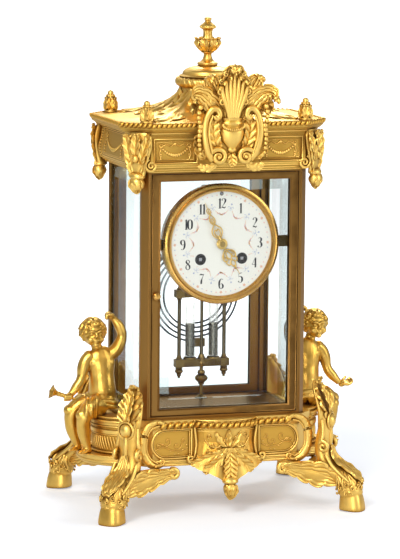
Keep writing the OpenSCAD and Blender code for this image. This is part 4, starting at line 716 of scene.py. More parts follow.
G.leaf(on(C, "7 0 41 5, 14 -1.6 50 8.4, 21 -2.4 58 9, 28.6 -3 63.6 8, 35.6 -4 64 6.4, 39.6 -6 60 4.6, "
             "39 -8 56 3"),
       unit(arr(0.55, 0, -1)), **deep)
G.leaf(on(C, "12 1.4 44 4, 19 1.6 50 7, 27 1.4 53.6 7.4, 33.6 .6 52 5.6, 37 -1 47 3.4"),
       unit(arr(0.3, 0, -1)), 6, 1.5, 0.6, 9, 17, 0.18, 0.12)
for x, z, r in rows("30.6 52 2.7, 31.8 47.4 2.5, 32 43 2.3, 31.4 39.2 2.1"):
    G.ball(C(x, -3.6, z), (r, r, r), 10)
G.loft(on(C, "17.4 0 5 2 3, 22.4 -1.5 13 2.6 3.4, 25 -2.5 24 3 3.6, 25.4 -2.6 35 2.9 3.6, "
             "23.4 -3 44 2.7 3.2, 19 -3.4 50 2.8 3, 14.4 -3.8 49.4 2.4 2.8, 12.6 -4 44.6 2.2 2.6, "
             "15.2 -4 42 1.8 2.4, 17 -4 44.6 1.4 2.6"),
       Y, 14)
G.loft(on(C, "18.8 -3.6 11 1.2 1, 22.4 -5.4 25 1.3 1.1, 22.4 -5.6 36 1.3 1.1, 19.4 -5.8 45 1 .9"), Y, 8)
G.scroll(C(12.6, -2.2, 7.6), X, 7.8, 1.2, 40, 560, 2.5, 70, 10, 0.5)
G.ball(C(12.6, -3.6, 7.6), (2.0, 2.2, 2.0), 10)
G.leaf(on(C, "10 0 8 3, 14.6 -1.4 19 5.6, 17.4 -1.8 30 6, 16.6 -1.4 40 4"), X, 5, 1.6, 0.6, 9, 13, 0.16)
G.leaf(on(C, "14 .6 2 2.4, 20 0 -1.6 3.6, 26 .4 -2 3, 30 1 1 1.4"), unit(arr(0.2, 0, 1)),
       4, 1.3, 0.4, 8, 9, 0.2)
for f in span(7):
    G.ball(C(29.8 + 1.2 * sin(pi * f), -2.8, 35 - 24 * f), (2.9 - 1.3 * f, 2.2 - 0.8 * f, 2.7 - 1.0 * f), 10)
for f in span(9):
    c, s = cos(pi / 2 * f), sin(pi / 2 * f)
    G.ball(C(10.2 * c, -6.4 - 1.2 * s, 36.4 - 4.6 * s), 1.15, 7)
G.leaf(on(C, "24 1 6 3, 29 .5 12 4.4, 31 .5 20 4, 31.4 0 27 2"), unit(arr(1, 0, -0.2)), 4, 1.2, 0.5, 8, 9)
F.merge(G.mirrored())
F.leaf(on(C, "0 0 12 3, 0 -2 7 5, 0 -3 2 4, 0 -2 -1 1.4"), -X, 4, 1.4, 0.5, 7, 11)
F.build("plume_crest", gilt)
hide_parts("crest")


# Base mouldings
def swell(x, w, share=1.0, least=0.0):
    """How far the block swells at x, w its half width."""
    return SWELL * share * max(least, cos(pi / 2 * min(1, abs(x) / w))) ** 0.7


F = Form()
top = canted(BW + 2.2, BD + 1.4, 16, 80.8)
block = [(x, -BD - swell(x, 29) - 1.2, 80.8) for x in 29 * span(25, -1)]
straight = [[(a, e * (BD + 2.2), 80.8), (b, e * (BD + 2.2), 80.8)] for a, b, e in
            ((-62, -29.6, -1), (29.6, 62, -1), (62, -62, 1))]
for path in (straight[0], block, straight[1], straight[2], top[2:4], top[6:8]):
    rope(F, path, 5.6, (2.2, 2.6, 4.2))
F.build("base_rope", gilt)
F = Form()
for z, r, d in rows("84.6 .6 .2, 77 .5 .2, 48.6 .7 2, 45.2 1 2"):
    p = canted(BW + d, BD + d, 16, z)
    F.wire([(-28, -BD - d, z), p[0], *p[:0:-1], (28, -BD - d, z)], 6, r)
for z, w, o, r in rows("84.6 29 .96 .6, 77.2 27.6 .76 .5, 74.8 27.2 .71 .4, 50 29 .8 .6"):
    F.wire([(x, -BD - swell(x, w, o) - 0.3, z) for x in w * span(25, -1)], 6, r)
for k in SIDES:
    F.loft([(k * a, -BD - b, c, 1.3, 1.3) for a, b, c in
            rows("29.4 1 85, 29 1.2 76, 27.6 1 62, 29.6 1.2 50, 33.6 1.6 45")], Y, 8)
F.build("base_fillets", gilt)

# Panels: rounded frames, C-scrolls and engraved flourishes
F, G = Form(), Form()
mid, end = 63.8, -55.6
tilt = unit(arr(0.2, 0, 1))
bow = rows("-58.5 82.4 1.6, -64 84.4 2.4, -71 82.4 3, -76.4 76.4 3.6, -78.4 66 3.6, -77.4 56 3.6, "
           "-72.4 48 3.4, -66 44.4 3, -60 45.4 1.8")
for e in SIDES:
    y = e * (BD + 0.2)
    for d, r, q in ((-0.9, 1.1, 0), (0.9, 0.45, 0.7)):
        hz = 12.4 - d
        p = [(-32.6 - d, y, mid + hz)] + [(end - hz * sin(t), y - e * q, mid + hz * cos(t))
                                          for t in span(17, 0, pi)] + [(-32.6 - d, y, mid - hz)]
        F.wire(p + p[:1], 8, r)
    y = e * (BD + 1.4)
    F.loft([(a, y + e * (0.4 if a > -70 else 1.6), b, w, 2.2) for a, b, w in bow], tilt, 12)
    F.loft([(end + (a - end) * 0.84, y + e * 1.4, mid + (b - mid) * 0.84, 1.0, 1.2) for a, b, w in bow[1:-1]],
           tilt, 8)
    for a, b, w in bow[1:-1]:
        F.ball((a - 0.4, y + e * 3.0, b), (w * 0.42, 1.2, w * 0.62), 8)
    F.scroll((-59.4, y + e * 0.4, 80.4), X, 3.4, 0.7, 110, -420, 1.5, 30)
    F.scroll((-60.4, y + e * 0.4, 48.0), X, 3.4, 0.7, -110, 420, 1.5, 30)
    y = e * (BD - 0.9)
    for x, z, r, start, sweep in rows("-54 66 5 200 420, -45 62 4.4 20 -400, -62 62 3.4 0 380, "
                                      "-38.5 66 2.6 90 360"):
        G.scroll((x, y, z), X, r, 0.5, start, sweep, 0.42, 34, 6)
    G.tube([(x, y, z) for x, z in rows("-66 58, -58 61, -50 58, -42 57, -35 60")], 6, 0.4)
    for t in span(9):
        G.ball((-66 + 30 * t, y, 59 + 5 * sin(7 * t)), (1.1, 0.5, 0.6), 6)
F.mirrored().build("base_scrolls", gilt)
G.mirrored().build("base_engraving", gilt_dark)

# Flourish on the swelling block
F = Form()
wide = rows("0 1.16 1, .1 1.14 .95, .2 .98 .75, .5 .9 .66, .8 .94 .8, .87 1 1, 1 .99 .96")


def blk(x, z, lift):
    """A point on the block's face."""
    f, w, o = zip(*wide)
    f = ((z - BASE) / 41.3, f)
    return arr(x, -BD - swell(x, 29 * np.interp(*f, w), np.interp(*f, o)) - lift, z)


for k in SIDES:
    for x, z, r, start, sweep in rows("7 68 4.6 180 420, 14 62 4 20 -400, 6 58 3.4 200 -380, "
                                      "16.5 70 2.8 -60 380, 19 56 2.4 90 360"):
        t = span(34)
        F.wire([blk(k * (x + q * cos(b)), z + q * sin(b), 0.2) for q, b in
                zip(r * (1 - 0.88 * t ** 0.8), np.radians(start + sweep * t))], 6, 0.5)
    F.tube([blk(k * x, z, 0.2) for x, z in rows("1 74, 4 66, 10 60, 17 62, 21 68")], 6, 0.55)
    F.leaf([(*blk(k * x, z, q), w) for x, z, q, w in
            rows("2 60 .5 1.4, 6 64 .8 2.6, 10 70 .8 2, 12 74 .5 .6")],
           arr(k, 0, -k * 0.6), 3, 0.7, 0.3, 6, 7)
F.leaf(on(blk, "0 57 .5 1.6, 0 64 1 3.2, 0 71 1 2.6, 0 76 .5 .6"), X, 4, 0.8, 0.35, 6, 9)
F.build("block_flourish", gilt)

# Apron: fan of leaves and a hanging bud
F, G = Form(), Form()


def ap(x, y, z):
    return x, y - BD - SWELL, z


fan = curve([(w, 0, z) for z, w in rows("60 6, 57 15, 53 25, 49 32, 46 33.5, 43 31, 40 25.5, 37 18, 34 11.5, "
                                        "31 7.5, 28.6 5")], 5)
S = np.zeros((len(fan), 41, 3))
for i, (w, _, z) in enumerate(fan):
    for j, x in enumerate(w * span(41, -1)):
        th, rho = atan2(x, 66 - z), hypot(x, 66 - z)
        x *= 1 + 0.03 * (cos(th * 15) - 1)
        out = swell(x, 35, 0.95 if z > 44 else 0.95 + 0.012 * (44 - z), 0.02)
        S[i, j] = (x, -BD - out - 0.7 - 0.9 * abs(cos(th * 7.5)) ** 0.6 * min(1, rho / 16), z)
F.sheet(S, 1.6)
F.leaf(on(ap, "0 -.6 58 2, 0 -2.6 51 5.4, 0 -4.2 44 6.8, 0 -4.6 37 5.4, 0 -4 31 3"), -X, 6, 1.4, 0.6, 10, 17,
       0.2, 0.2)
G.leaf(on(ap, "3 -1 55 2.4, 10 -1.4 49 4.6, 17 .4 43.6 4.8, 21 2.6 39.4 3.2, 22.4 3.4 37.6 1.4"),
       unit(arr(-1, 0, -0.9)), 5, 1.2, 0.5, 9, 13, 0.2)
G.leaf(on(ap, "6 -.4 57 2, 15 -.2 53.4 4.2, 24 3 49 4.6, 30.4 6.6 46 3.4, 33.6 9 47 1.6"),
       unit(arr(-0.35, 0, -1)), 5, 1.2, 0.5, 9, 13, 0.2)
G.scroll(ap(33.4, 9, 50.4), X, 3.4, 0.7, -80, 420, 1.5, 26)
F.merge(G.mirrored())
F.loft(on(ap, "0 -1.6 34 5 4, 0 -2.2 30.5 7.4 6, 0 -2.2 29 6.6 5.4, 0 -2.2 28 5 4.6"), X, 14)
F.loft(on(ap, "0 -2.2 28.5 4.4 4.4, 0 -2.4 25 6.4 6, 0 -2.4 20 5.6 5.2, 0 -2.2 16 3.4 3.4, "
              "0 -2 13.4 1.2 1.2"),
       X, 16)
for k in (-1, 0, 1):
    F.leaf([(*ap(k * x, y + abs(k) * q, z), w) for x, y, q, z, w in
            rows("2.4 -7 0 28 1.4, 4.2 -8.6 1.6 24 2.5, 3.4 -7.8 1.4 19 1.9, 1 -5 0 14.5 .6")],
           -X, 3, 0.8, 0.3, 6, 7)
F.build("apron_palmette", gilt)
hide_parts("apron_leaf")

# Feet: hoofed scroll legs with leaves; drawn at the front left and mirrored
u = unit(arr(HW - FX, HD - FY, 0))
acr = unit(arr(FY - HD, HW - FX, 0))


def ft(r, z, k=0.0):
    """A point r out from the case's corner along the leg, z high, k across it."""
    return arr(-HW, -HD, 0) + u * r + Z * z + acr * k


def ray(a):
    return cos(a) * u + sin(a) * acr


A, B = Form(), Form()
A.loft(on(ft, "46.86 0 10.8 10.8, 46.86 1.2 11.3 11.3, 46.46 7 10.8 10.8, 45.66 13 9.8 9.8, 44.66 18 7.6 7.6",
          2),
       acr, 28, 0.72)
A.loft(on(ft, "45.46 12.6 8.6 8.6, 45.26 15.6 11.2 11, 43.86 20 12 11, 41.26 26 11.6 10, "
              "34.86 31.6 10.6 8.6, 27 37 11.4 8.2, 21 45 12 8, 18.4 56 11.2 7.2, 19.4 68 10.4 6.4, "
              "20.4 79 9.8 5.6, 18 89 7.4 4", 2), acr, 22)
A.loft(on(ft, "17 74 8 3.2, 18.4 87 11.6 4.2, 15.4 98 11.4 3.6, 11.6 108 8.6 2.8, 10 114 4.6 2.2, "
              "11 117 1.6 1.4", 2),
       acr, 16)
A.loft(rows("-95 -73 32 10.5 8, -83 -71.4 33 11 6.2, -72 -69.6 35.8 8.6 4.8, -62 -68.6 37.8 6 4, "
            "-53.4 -68 38.4 4.4 3.2, -50 -67.6 38 2.4 2.6"), Z, 16)
A.loft(rows("-97 -67 34 9 7.4, -95 -55 35.6 7.8 5.2, -92.6 -44 36.6 5.6 4, -90.8 -35 36 3 3"), Z, 14)
# tuft over the hoof
tr = random.Random(5)
for q, a in enumerate(span(23, -2.5, 2.5)):
    low, w = 15.5 + 2.6 * (q % 3) + tr.uniform(-0.6, 0.6), 1.9 - 0.25 * (q % 2)
    L = []
    for t in span(7):
        b = a * (0.72 + 0.28 * t) + 0.13 * sin(4.4 * t + q)
        k = 10.4 + 1.6 * sin(pi * min(1, t * 1.15)) - 3.2 * (1 - t) ** 2 + max(0, 7 * (t - 0.8))
        L.append((*(ft(43.46 - 8 * (1 - t) ** 1.5, 35 - (35 - low) * t) + ray(b) * k), w * (1 - 0.55 * t)))
    e, g = arr(*L[-1][:3]), ray(a + pi / 2) * (1 if q % 2 else -1)
    B.tube(L + [(*(e + g * 1.3 + Z * 0.2), 0.7), (*(e + g * 1.8 + Z * 1.5), 0.5)], 7, k=2)
for q, a in enumerate(span(9, -1.9, 1.9)):
    B.scroll(ft(43.26, 21.5 + q % 2 * 3) + ray(a) * 12.6, ray(a + pi / 2), 2.5, 0.5, 90,
             430 * (1 if q % 2 else -1), 0.9, 20, 6)
B.leaf(on(ft, "26.4 58 3, 29.6 50 7, 34 44.4 9.4, 41.6 39.6 9.6, 49.4 34 8, 53.6 29.4 5, 56 27 2.6", 2), -acr,
       5, 1.6, 0.65, 10, 31, 0.18, 0.14, 0.55)
# shell-like corner leaf
B.leaf(on(ft, "22 78 5, 23.6 86 10, 20.6 96 12.4, 16 105 10.4, 13 112 6.6, 13.6 117 3.6, 16 118 1.6", 2), acr,
       6, 1.8, 0.8, 9, 21, 0.2, 0.16)
B.leaf(on(ft, "24 84 2, 25.6 92 4, 22.4 101 4.4, 18 109 3.2, 16.6 114 1.4", 2), acr,
       4, 1.2, 0.5, 8, 11, 0.15, 0.3)
# rolled edges of the pilaster, its middle rib and knee volutes
for k in SIDES:
    B.tube([(*ft(r, z, k * x), w) for r, z, x, w in rows("20 82 9 1.6, 21.4 70 10.2 1.9, 20.6 64 11 2")], 10)
    B.scroll(ft(22, 57.5, k * 11.4), u, 5.4, 0.9, 100, -470, 2.2, 36, 10)
    B.tube([(*ft(r, z, k * x), w) for r, z, x, w in
            rows("25 50 11.4 1.6, 31 41 11.6 1.8, 40 33 11.2 1.6, 47 27 10.4 1.2")])
B.tube(on(ft, "24.6 74 2.2, 25 66 2.6, 24.6 58 2.2, 26 51 1.2", 2), 10)
B.ball(ft(23.4, 80), (6.4, 6.4, 6.8), 20)
B.wire([ft(25.4, 80 + 7.6 * sin(t), 7.6 * cos(t)) for t in around(23)], 8, 1.1, True)
# wings under the front and the side
B.leaf(rows("-103 -85 26 5, -94 -82.6 29.4 11, -84 -79 32 12.6, -74 -75.6 34.6 10.6, -64 -73.4 37 7.6, "
            "-56 -72 38.4 5, -51 -71 38 3"), unit(arr(0, 0.25, -1)), 5, 1.6, 0.7, 12, 35, 0.22, 0.16, 0.65)
B.scroll((-51.4, -70.4, 38.2), -X, 5.2, 0.9, 60, 470, 2.4, 36, 10)
B.tube(rows("-96 -80 37 1.4, -84 -76 40.4 1.5, -72 -72.6 42 1.3, -60 -70.6 43 1.1, -52 -70 43 .9"))
B.leaf(rows("-106 -72 28 4, -104 -64 31 8, -101.6 -55 33.6 8.8, -98.6 -46 36 6.6, -95.6 -38 37 4.2, "
            "-94 -34 36.6 2.4"), unit(arr(-0.2, 0, -1)), 4, 1.5, 0.65, 10, 29, 0.22, 0.16, 0.65)
B.scroll((-93.4, -34, 36.6), Y, 4.2, 0.8, 60, 440, 1.8, 30)
foot = A.build("foot_fl", gilt, 0.8, 6)
leaves = B.build("foot_fl_leaves", gilt)
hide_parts("foot_front_left")
for name, node, sx, sy in (("fr", "foot_front_right", -1, 1), ("rl", "foot_rear_left", 1, -1),
                           ("rr", "foot_rear_right", -1, -1)):
    for src, label in ((foot, "foot_"), (leaves, "foot_leaves_")):
        me = src.data.copy()
        me.transform(Matrix.Diagonal((sx, sy, 1, 1)))
        if sx * sy < 0:
            me.flip_normals()
        o = placed(label + name, me)
        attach(o, "clock")
        if src == foot:
            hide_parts(node)

# Seats: hatched and fluted drum
F = Form()
for z, r, w in rows("83 31 .8, 79.5 31.6 1.2, 75 31 .7, 67.2 29.4 .8, 51.5 31 .9, 49.6 42.4 1, 45 42.6 1.2"):
    a = 1.32 if r < 35 else 1.38
    F.wire([(76 + r * cos(t), r * sin(t), z) for t in span(36, -a, a)], 8, w)
for a in span(25, -1.25, 1.15):
    L = []
    for t in span(7):
        r, b = 28.9 + 0.5 * sin(pi * t), a + 0.13 * t
        L.append((76 + r * cos(b), r * sin(b), 53.6 + 12 * t, 0.9 - 0.5 * abs(t - 0.6)))
    F.wire(L, 6)
F.mirrored().build("seat_mouldings", gilt)


# Child figures, sitting at the origin and facing the front
def balls(F, text, mid=0, k=1):
    """Ellipsoids from rows of x, y, z, half sizes and sides, x counted k-fold from mid."""
    for x, y, z, a, b, c, n in rows(text):
        F.ball((mid + k * x, y, z), (a, b, c), int(n))


def bars(F, text, n=8):
    """Four bars side by side, from rows of x, y, z, their steps from bar to bar, and radius."""
    for q in range(4):
        F.tube([(x + q * i, y + q * j, z + q * k, w) for x, y, z, i, j, k, w in rows(text)], n)


def child(torch):
    A = Form()
    # head
    balls(A, "9 -.6 74 10.4 11 11.4 24, 9 -5.4 70 8.4 7.2 7.6 20, 9.2 -12 68.5 2.5 1.1 .75 10, "
             "9.2 -11.8 67.1 2.1 1.2 .8 10, 9.2 -10.2 64.4 3 2.6 2.3 12")
    for k in SIDES:
        balls(A, "4.4 -9.4 69 3.5 3 3.1 14, 4 -10.6 74.3 1.9 1.3 1.1 10, 9.8 .6 71.6 1.7 2.4 3 10, "
                 "1.3 -12.8 71.4 1 1.2 1 8", 9.2, k)
        A.tube([(9.2 + k * x, y, z, w) for x, y, z, w in
                rows("1.6 -12 76.2 .9, 4.4 -11.8 77.1 1.1, 7 -9.6 76 .7")])
    A.tube(rows("9.2 -11.4 76 1.2, 9.2 -12.6 73.6 1.2, 9.2 -13.4 71.6 1.7"), 10)
    A.tube(rows("7.4 1.4 67 5.2, 5.6 1.2 62 4.8, 4 1 57 5.8"), 16)
    # trunk
    A.loft(rows("0 1 5 11.4 10.4, 0 .6 12 13 11.4, .4 -1 20 12.6 11.2, .8 -1.4 28 11.8 10.6, "
                "1.2 -1 36 11.6 9.4, 1.6 -.6 44 12.6 9.4, 2.2 0 51 13.2 8.6, 3 .6 56.6 10.6 6.8, "
                "3.8 1 60 6 5"), X, 24)
    balls(A, ".8 -5.6 22 9.4 7 9 18, -3.8 -3.4 47 6.8 5 5.6 14, 7.4 -3.4 47 6.8 5 5.6 14, "
             "-8 0 53 5.4 5.4 5.2 14, 12.8 0 53 5.4 5.4 5.2 14")
    # raised arm beside the case
    A.tube(rows("-8 0 54 6, -12.4 -1 58 6, -15.8 -2 64.4 5.4, -17.2 -2.6 70.6 4.5, -16.6 -3 75 4.5, "
                "-14 -3 80.4 4.4, -10.8 -2.8 84.8 3.2, -9 -2.6 87.2 2.9"), 14)
    A.ball((-7, -2.8, 88.6), (3.9, 3.4, 3.1), 14)
    bars(A, "-7 -.6 90.8 .4 -1.5 0 1.5, -4.4 -1 91.8 .5 -1.6 -.5 1.5, -2.2 -1.6 89.8 .3 -1.5 -.7 1.3, "
            "-3 -2 87.8 0 -1.3 -.4 1.1", 10)
    A.tube(rows("-9 -4.4 88.4 1.6, -6.6 -6.2 90.4 1.4, -4.2 -6.4 90.8 1.1"))
    # other arm
    A.tube(rows("11 0 53 6, 15.6 -.6 49 5.9, 18.6 -1.4 42 5.6, 20 -2.2 35.4 4.5, 21.8 -3 30.4 4.5, "
                "25.6 -4 25.6 4.4, 29.4 -4.8 21.4 3.3, 31.6 -5 19 2.9"), 14)
    A.ball((34.4, -5.2, 17.6), (3.6, 2.4, 3), 12)
    if torch:
        bars(A, "31.6 -7 20 1.6 0 0 1.4, 32.2 -8.8 18 1.6 0 0 1.4, 32.4 -8 15.4 1.6 0 0 1.2, "
                "32.6 -5.6 14.6 1.5 0 0 1")
        A.turn(rows("1.2 -9, 1.5 -3, 1.9 4, 2.2 8, 1.8 9.4, 2.6 10.6, 2 12, 2.6 14.4, 4.4 17.4, 6.2 18.8, "
                    "6.6 19.6, 4.6 19, 2.4 17"), n=30, wob=lambda a, z: 1 + 0.14 * np.cos(5 * a) * (z > 13))
        A.v[-1] = arr(34, -5.6, 17.6) + A.v[-1] @ np.array([Y * 0.98, unit(arr(-0.36, 0, 1)) * 0.98,
                                                            unit(arr(1, -0.08, 0.36)) * 0.86])
    else:
        for q in range(4):
            b = abs(q - 1.5)
            A.tube([(35, -2.6 - q * 1.6, 18.6 - q * 0.3, 1.5), (39, -2.2 - q * 2.1, 19.4 - q * 0.7, 1.4),
                    (42.8 - b, -2.6 - q * 2.3, 21 - q * 0.9, 1.2), (45 - b, -3 - q * 2.3, 23.4 - q, 0.9)])
        A.tube(rows("32.6 -7 19.6 1.6, 34.6 -9 22.6 1.4, 36.6 -9.4 25.4 1.1"))
    # legs
    A.loft(rows("2 -5 8 8.8 8.8, 10 -9 9.6 8.4 8.4, 17.6 -12 5.4 7.6 7.4, 21 -13 -1 6.8 6.6, "
                "21.4 -12 -8 6 6, 20.4 -11 -16 5.9 5.6, 18 -12 -26 3.8 3.8, 17.4 -12.4 -29.4 3.4 3.6"), Y, 18)
    A.loft(rows("2 5 8 8.8 8.8, 12 5 10 8.4 8.4, 22 4.4 7 7.6 7.4, 27.4 4 1 6.8 6.6, 28 4 -8 6 6, "
                "26.6 4 -16 5.8 5.4, 23.4 2.6 -26 3.7 3.7, 22.4 2.4 -29.4 3.4 3.5"), Y, 18)
    balls(A, "23.4 -13.4 1.6 5.4 5.6 5.4 14, 29.8 4 3.4 5.4 5.6 5.4 14")
    for x, y in ((17.4, -12.4), (22.4, 2.4)):
        A.loft([(x + i, y + j, z, w, t) for i, j, z, w, t in
                rows("-2.6 .6 -30.6 3 2.8, 1 -.6 -31 3.5 3, 6 -2 -32 3.6 2, 9 -3 -32.6 2.8 1.2")], Y, 12)
        for q in range(5):
            A.ball((x + 9.4 - abs(q - 1) * 0.5, y - 5.4 + q * 1.3, -32.2), (1.3, 0.9, 1.0), 8)
    # drapery: a rolled girdle and folds round both thighs
    for z, q, w in rows("12.4 1 2.7, 8.6 1.03 2.1, 15.8 .95 1.5"):
        A.wire([(0.6 + 13.4 * q * cos(t), 0.4 + 12 * q * sin(t), z + 1.6 * cos(t) + 0.8 * sin(3 * t),
                 w * (1 + 0.2 * sin(5 * t))) for t in around(30)], 10, loop=True)
    for y0, y1, e in ((-5, -12, -1), (5, 4.6, 1)):
        for q in range(7):
            f = q / 6
            c = arr(2 + 15.6 * f, y0 + (y1 - y0) * f, 8.6 - 1.6 * f)
            g = unit(arr(-0.5 + 0.9 * f, 0.7 * e, 0.2))
            k = 10.3 - 1.2 * f
            w = (1.9, 1.1)[q % 2]
            A.wire([(*(c + k * (cos(t) * Z + sin(t) * unit(arr(0.4 * e, 1, 0))) + g * 1.6 * sin(t + q)),
                     w * (1 + 0.25 * sin(2 * t + q))) for t in around(22)], 8, loop=True)
    for q in range(6):
        x, y = 11 + q * 1.5, -7 + q * 2.2
        A.tube([(x - 7, y * 0.7, 15, 2.0), (x, y, 12 - abs(q - 2), 2.4), (x + 6, y, 4 - q % 2 * 2, 2.1),
                (x + 7.4, y + 0.6, -6 - q % 3 * 2, 1.8), (x + 7 + q % 2, y + 1, -14 + q % 3 * 3, 1.1)])
    bars(A, "-9 9 12 1 0 -1 2.2, 0 14 6 0 0 -2.2 2.2, 10 15 2 0 -.6 -2.4 1.9, 17 14.6 -5 0 -1 -3 1.2")
    # hair: three layers of waved locks from the crown, curling out at their ends
    r = random.Random(3)
    A.ball((8.8, 1.8, 76.4), (11.2, 11, 10.6), 24)
    for lay, (count, lift, share) in enumerate(((34, 0.0, 1.0), (30, 0.5, 0.8), (24, 0.9, 0.6))):
        for q in range(count):
            a = 2 * pi * (q + 0.5 * lay) / count
            most = (2.35 - 1.5 * max(0, cos(a + pi / 2)) ** 1.5) * share
            ph = r.uniform(0, 6)
            L = []
            for t in span(9, 0.12):
                th, b = most * t, a + 0.16 * sin(5.5 * t + ph)
                g = arr(sin(th) * cos(b), sin(th) * sin(b), cos(th))
                out = 0.98 + (lift + 3.5 * max(0, t - 0.8) + 0.3 * sin(9 * t + ph)) / 11.5
                L.append((*(arr(9, 1.6, 75) + g * arr(11.2, 11, 11.2) * out), 1.6 * (1 - 0.45 * t)))
            e = arr(*L[-1][:3])
            g = unit(e - arr(9, 1.4, 75.4))
            h = unit(np.cross(g, Z)) * (1 if q % 2 else -1)
            A.tube(L + [(*(e + 1.2 * h + 0.4 * g), 0.8), (*(e + 1.6 * h - 0.3 * g + 0.9 * Z), 0.6)], 7, k=2)
    return A


def sit(F, sx, name, node):
    """Sets a child on its seat, its soles cut level."""
    v = F.joined()
    v[:, 2] = np.maximum(v[:, 2], -33.2)
    v = v * arr(sx, 1, 1) + arr(sx * (HW + 20), 0, 83.3)
    o = Form().add(v, [q[::-1] for q in F.f] if sx < 0 else F.f).build(name, figure, 0.55, 2)
    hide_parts(node)


sit(child(True), -1, "torch_child", "putto_left")
sit(child(False), 1, "open_hand_child", "putto_right")


# Dial printing
def dp(x, y, d):
    """A point on the dial, x right, y up, d in front of it."""
    return arr(x, -FACE - d, DIAL + y)


def polar(r, a):
    return r * cos(a), r * sin(a)


def stroke(F, pts, d=0.03):
    """Painted line through points x, y, half width."""
    P = curve(pts, 6)
    last = len(P) - 1
    G = []
    for i, (x, y, w) in enumerate(P):
        a, b = unit(P[min(i + 1, last), :2] - P[max(i - 1, 0), :2]) * w
        G += [dp(x - b, y + a, d + 0.05), dp(x + b, y - a, d + 0.05)]
    F.add(G, [(2 * i, 2 * i + 1, 2 * i + 3, 2 * i + 2) for i in range(last)])


def dot(F, x, y, r, d=0.09):
    F.add([dp(x + r * cos(t), y + r * sin(t), d) for t in around(10)], [tuple(range(10))])


# strokes of the digits; the 9 is the 6 turned over
digits = [
    "0 4 .17, -1.5 2.6 .76, -1.75 0 .88, -1.5 -2.6 .76, 0 -4 .17, 1.5 -2.6 .76, 1.75 0 .88, 1.5 2.6 .76, "
    "0 4 .17",
    "0 4 .76, 0 1 .76, 0 -3.9 .76; .1 4 .17, -.7 3.2 .17, -1.3 2.9 .17; -1.2 -3.9 .17, 1.2 -3.9 .17",
    "-1.5 2.4 .76, -1.1 3.5 .3, .1 4 .17, 1.4 3 .76, 1.4 1.6 .76, .2 -.6 .3, -1.2 -2.4 .17, -1.8 -3.6 .17;"
    "-1.8 -3.5 .25, -.6 -3.1 .5, .8 -3.7 .45, 1.8 -2.6 .17",
    "-1.4 3.2 .17, -.2 4 .2, 1.2 3 .76, 1.1 1.4 .76, -.2 .4 .17;"
    "-.2 .4 .17, 1.3 -.6 .76, 1.6 -2.3 .86, .6 -3.8 .25, -.8 -3.9 .2, -1.7 -2.7 .76",
    ".9 4 .2, -.6 1.2 .17, -2.1 -1.5 .17; -2.1 -1.5 .2, 0 -1.5 .2, 2 -1.5 .2; .9 4 .76, "
    ".9 0 .76, .9 -3.9 .76",
    "-1.2 3.9 .35, .2 3.7 .3, 1.5 4.1 .17; -1.2 3.9 .17, -1.35 .6 .17;"
    "-1.35 .6 .17, 0 1.2 .25, 1.5 0 .76, 1.6 -2.2 .81, .4 -3.9 .2, -1 -3.7 .2, -1.6 -2.6 .76",
    "1.4 3.3 .4, .2 4 .17, -1.3 2.2 .76, -1.7 -.8 .76, -1.2 -3.2 .5, .1 -4 .17, 1.5 -2.8 .76, 1.6 -1.3 .76, "
    ".3 .2 .17, -1.4 -.9 .17",
    "-1.7 3 .17, -1.2 3.9 .5, .4 3.5 .5, 1.8 4 .17; 1.8 4 .17, .4 1 .3, -.4 -1.6 .76, -.5 -3.9 .76",
    "0 4 .17, -1.3 3.1 .5, -1.2 1.8 .76, .2 .5 .5, 1.5 -1 .76, 1.5 -2.8 .5, 0 -4 .17, -1.5 -2.8 .5, "
    "-1.5 -1 .35, -.2 .4 .25, 1.2 1.8 .35, 1.25 3.1 .4, 0 4 .17"]
F = Form()
for h in range(1, 13):
    cx, cy = polar(36.2, radians(90 - 30 * h))
    word = str(h)
    for i, ch in enumerate(word):
        ox = (i - (len(word) - 1) / 2) * (2.9 if h == 11 else 3.3)
        text, k = (digits[6], -1) if ch == "9" else (digits[int(ch)], 1)
        for part in text.split(";"):
            stroke(F, [(cx + (ox + k * x) * 1.06, cy + k * y * 1.12, w) for x, y, w in rows(part)])
F.build("numerals", ink)
roses, blues, golds = Form(), Form(), Form()
for i in range(60):
    a = radians(90 - 6 * i)
    if i % 5:
        dot(roses if i % 2 else blues, *polar(43.9, a), 0.5)
    elif i:
        x, y = polar(43.7, a)
        dot(golds, x, y, 0.6)
        for k in range(5):
            b = a + k * 1.2566
            dot(roses, x + 0.95 * cos(b), y + 0.95 * sin(b), 0.4, 0.10)
for h in range(12):
    # festoon of flowers hung below each figure, towards the centre, and clear of the winding holes
    for k in span(17, -1):
        x, y = polar(31.6 - 5.4 * (1 - k * k), radians(90 - 30 * h - 12.5 * k))
        if hypot(abs(x) - WX, y - WY) < 6.4:
            continue
        F = (roses, golds, roses, blues, roses)[int(abs(k) * 8) % 5]
        dot(F, x + rnd.uniform(-0.25, 0.25), y + rnd.uniform(-0.25, 0.25), 0.3 + 0.34 * (1 - abs(k)),
            0.08 + 0.001 * h)
        if abs(k) < 0.6:
            dot(roses if rnd.random() < 0.6 else golds, x + rnd.uniform(-1, 1), y + rnd.uniform(-1, 1),
                0.34, 0.10)
    a = radians(90 - 30 * h - 15)
    for q, r in enumerate((0.72, 0.24, 0.24, 0.42, 0.3)):
        dot(blues, *polar(36.4 - 1.4 * q, a), r, 0.11)
    for k in SIDES:
        stroke(blues, [(*polar(r, a + k * t), 0.16) for r, t in ((32.6, 0), (34, 0.05), (33.2, 0.09))], 0.05)
roses.build("dial_roses", rose)
blues.build("dial_blue", sky)
golds.build("dial_gold", leafg)
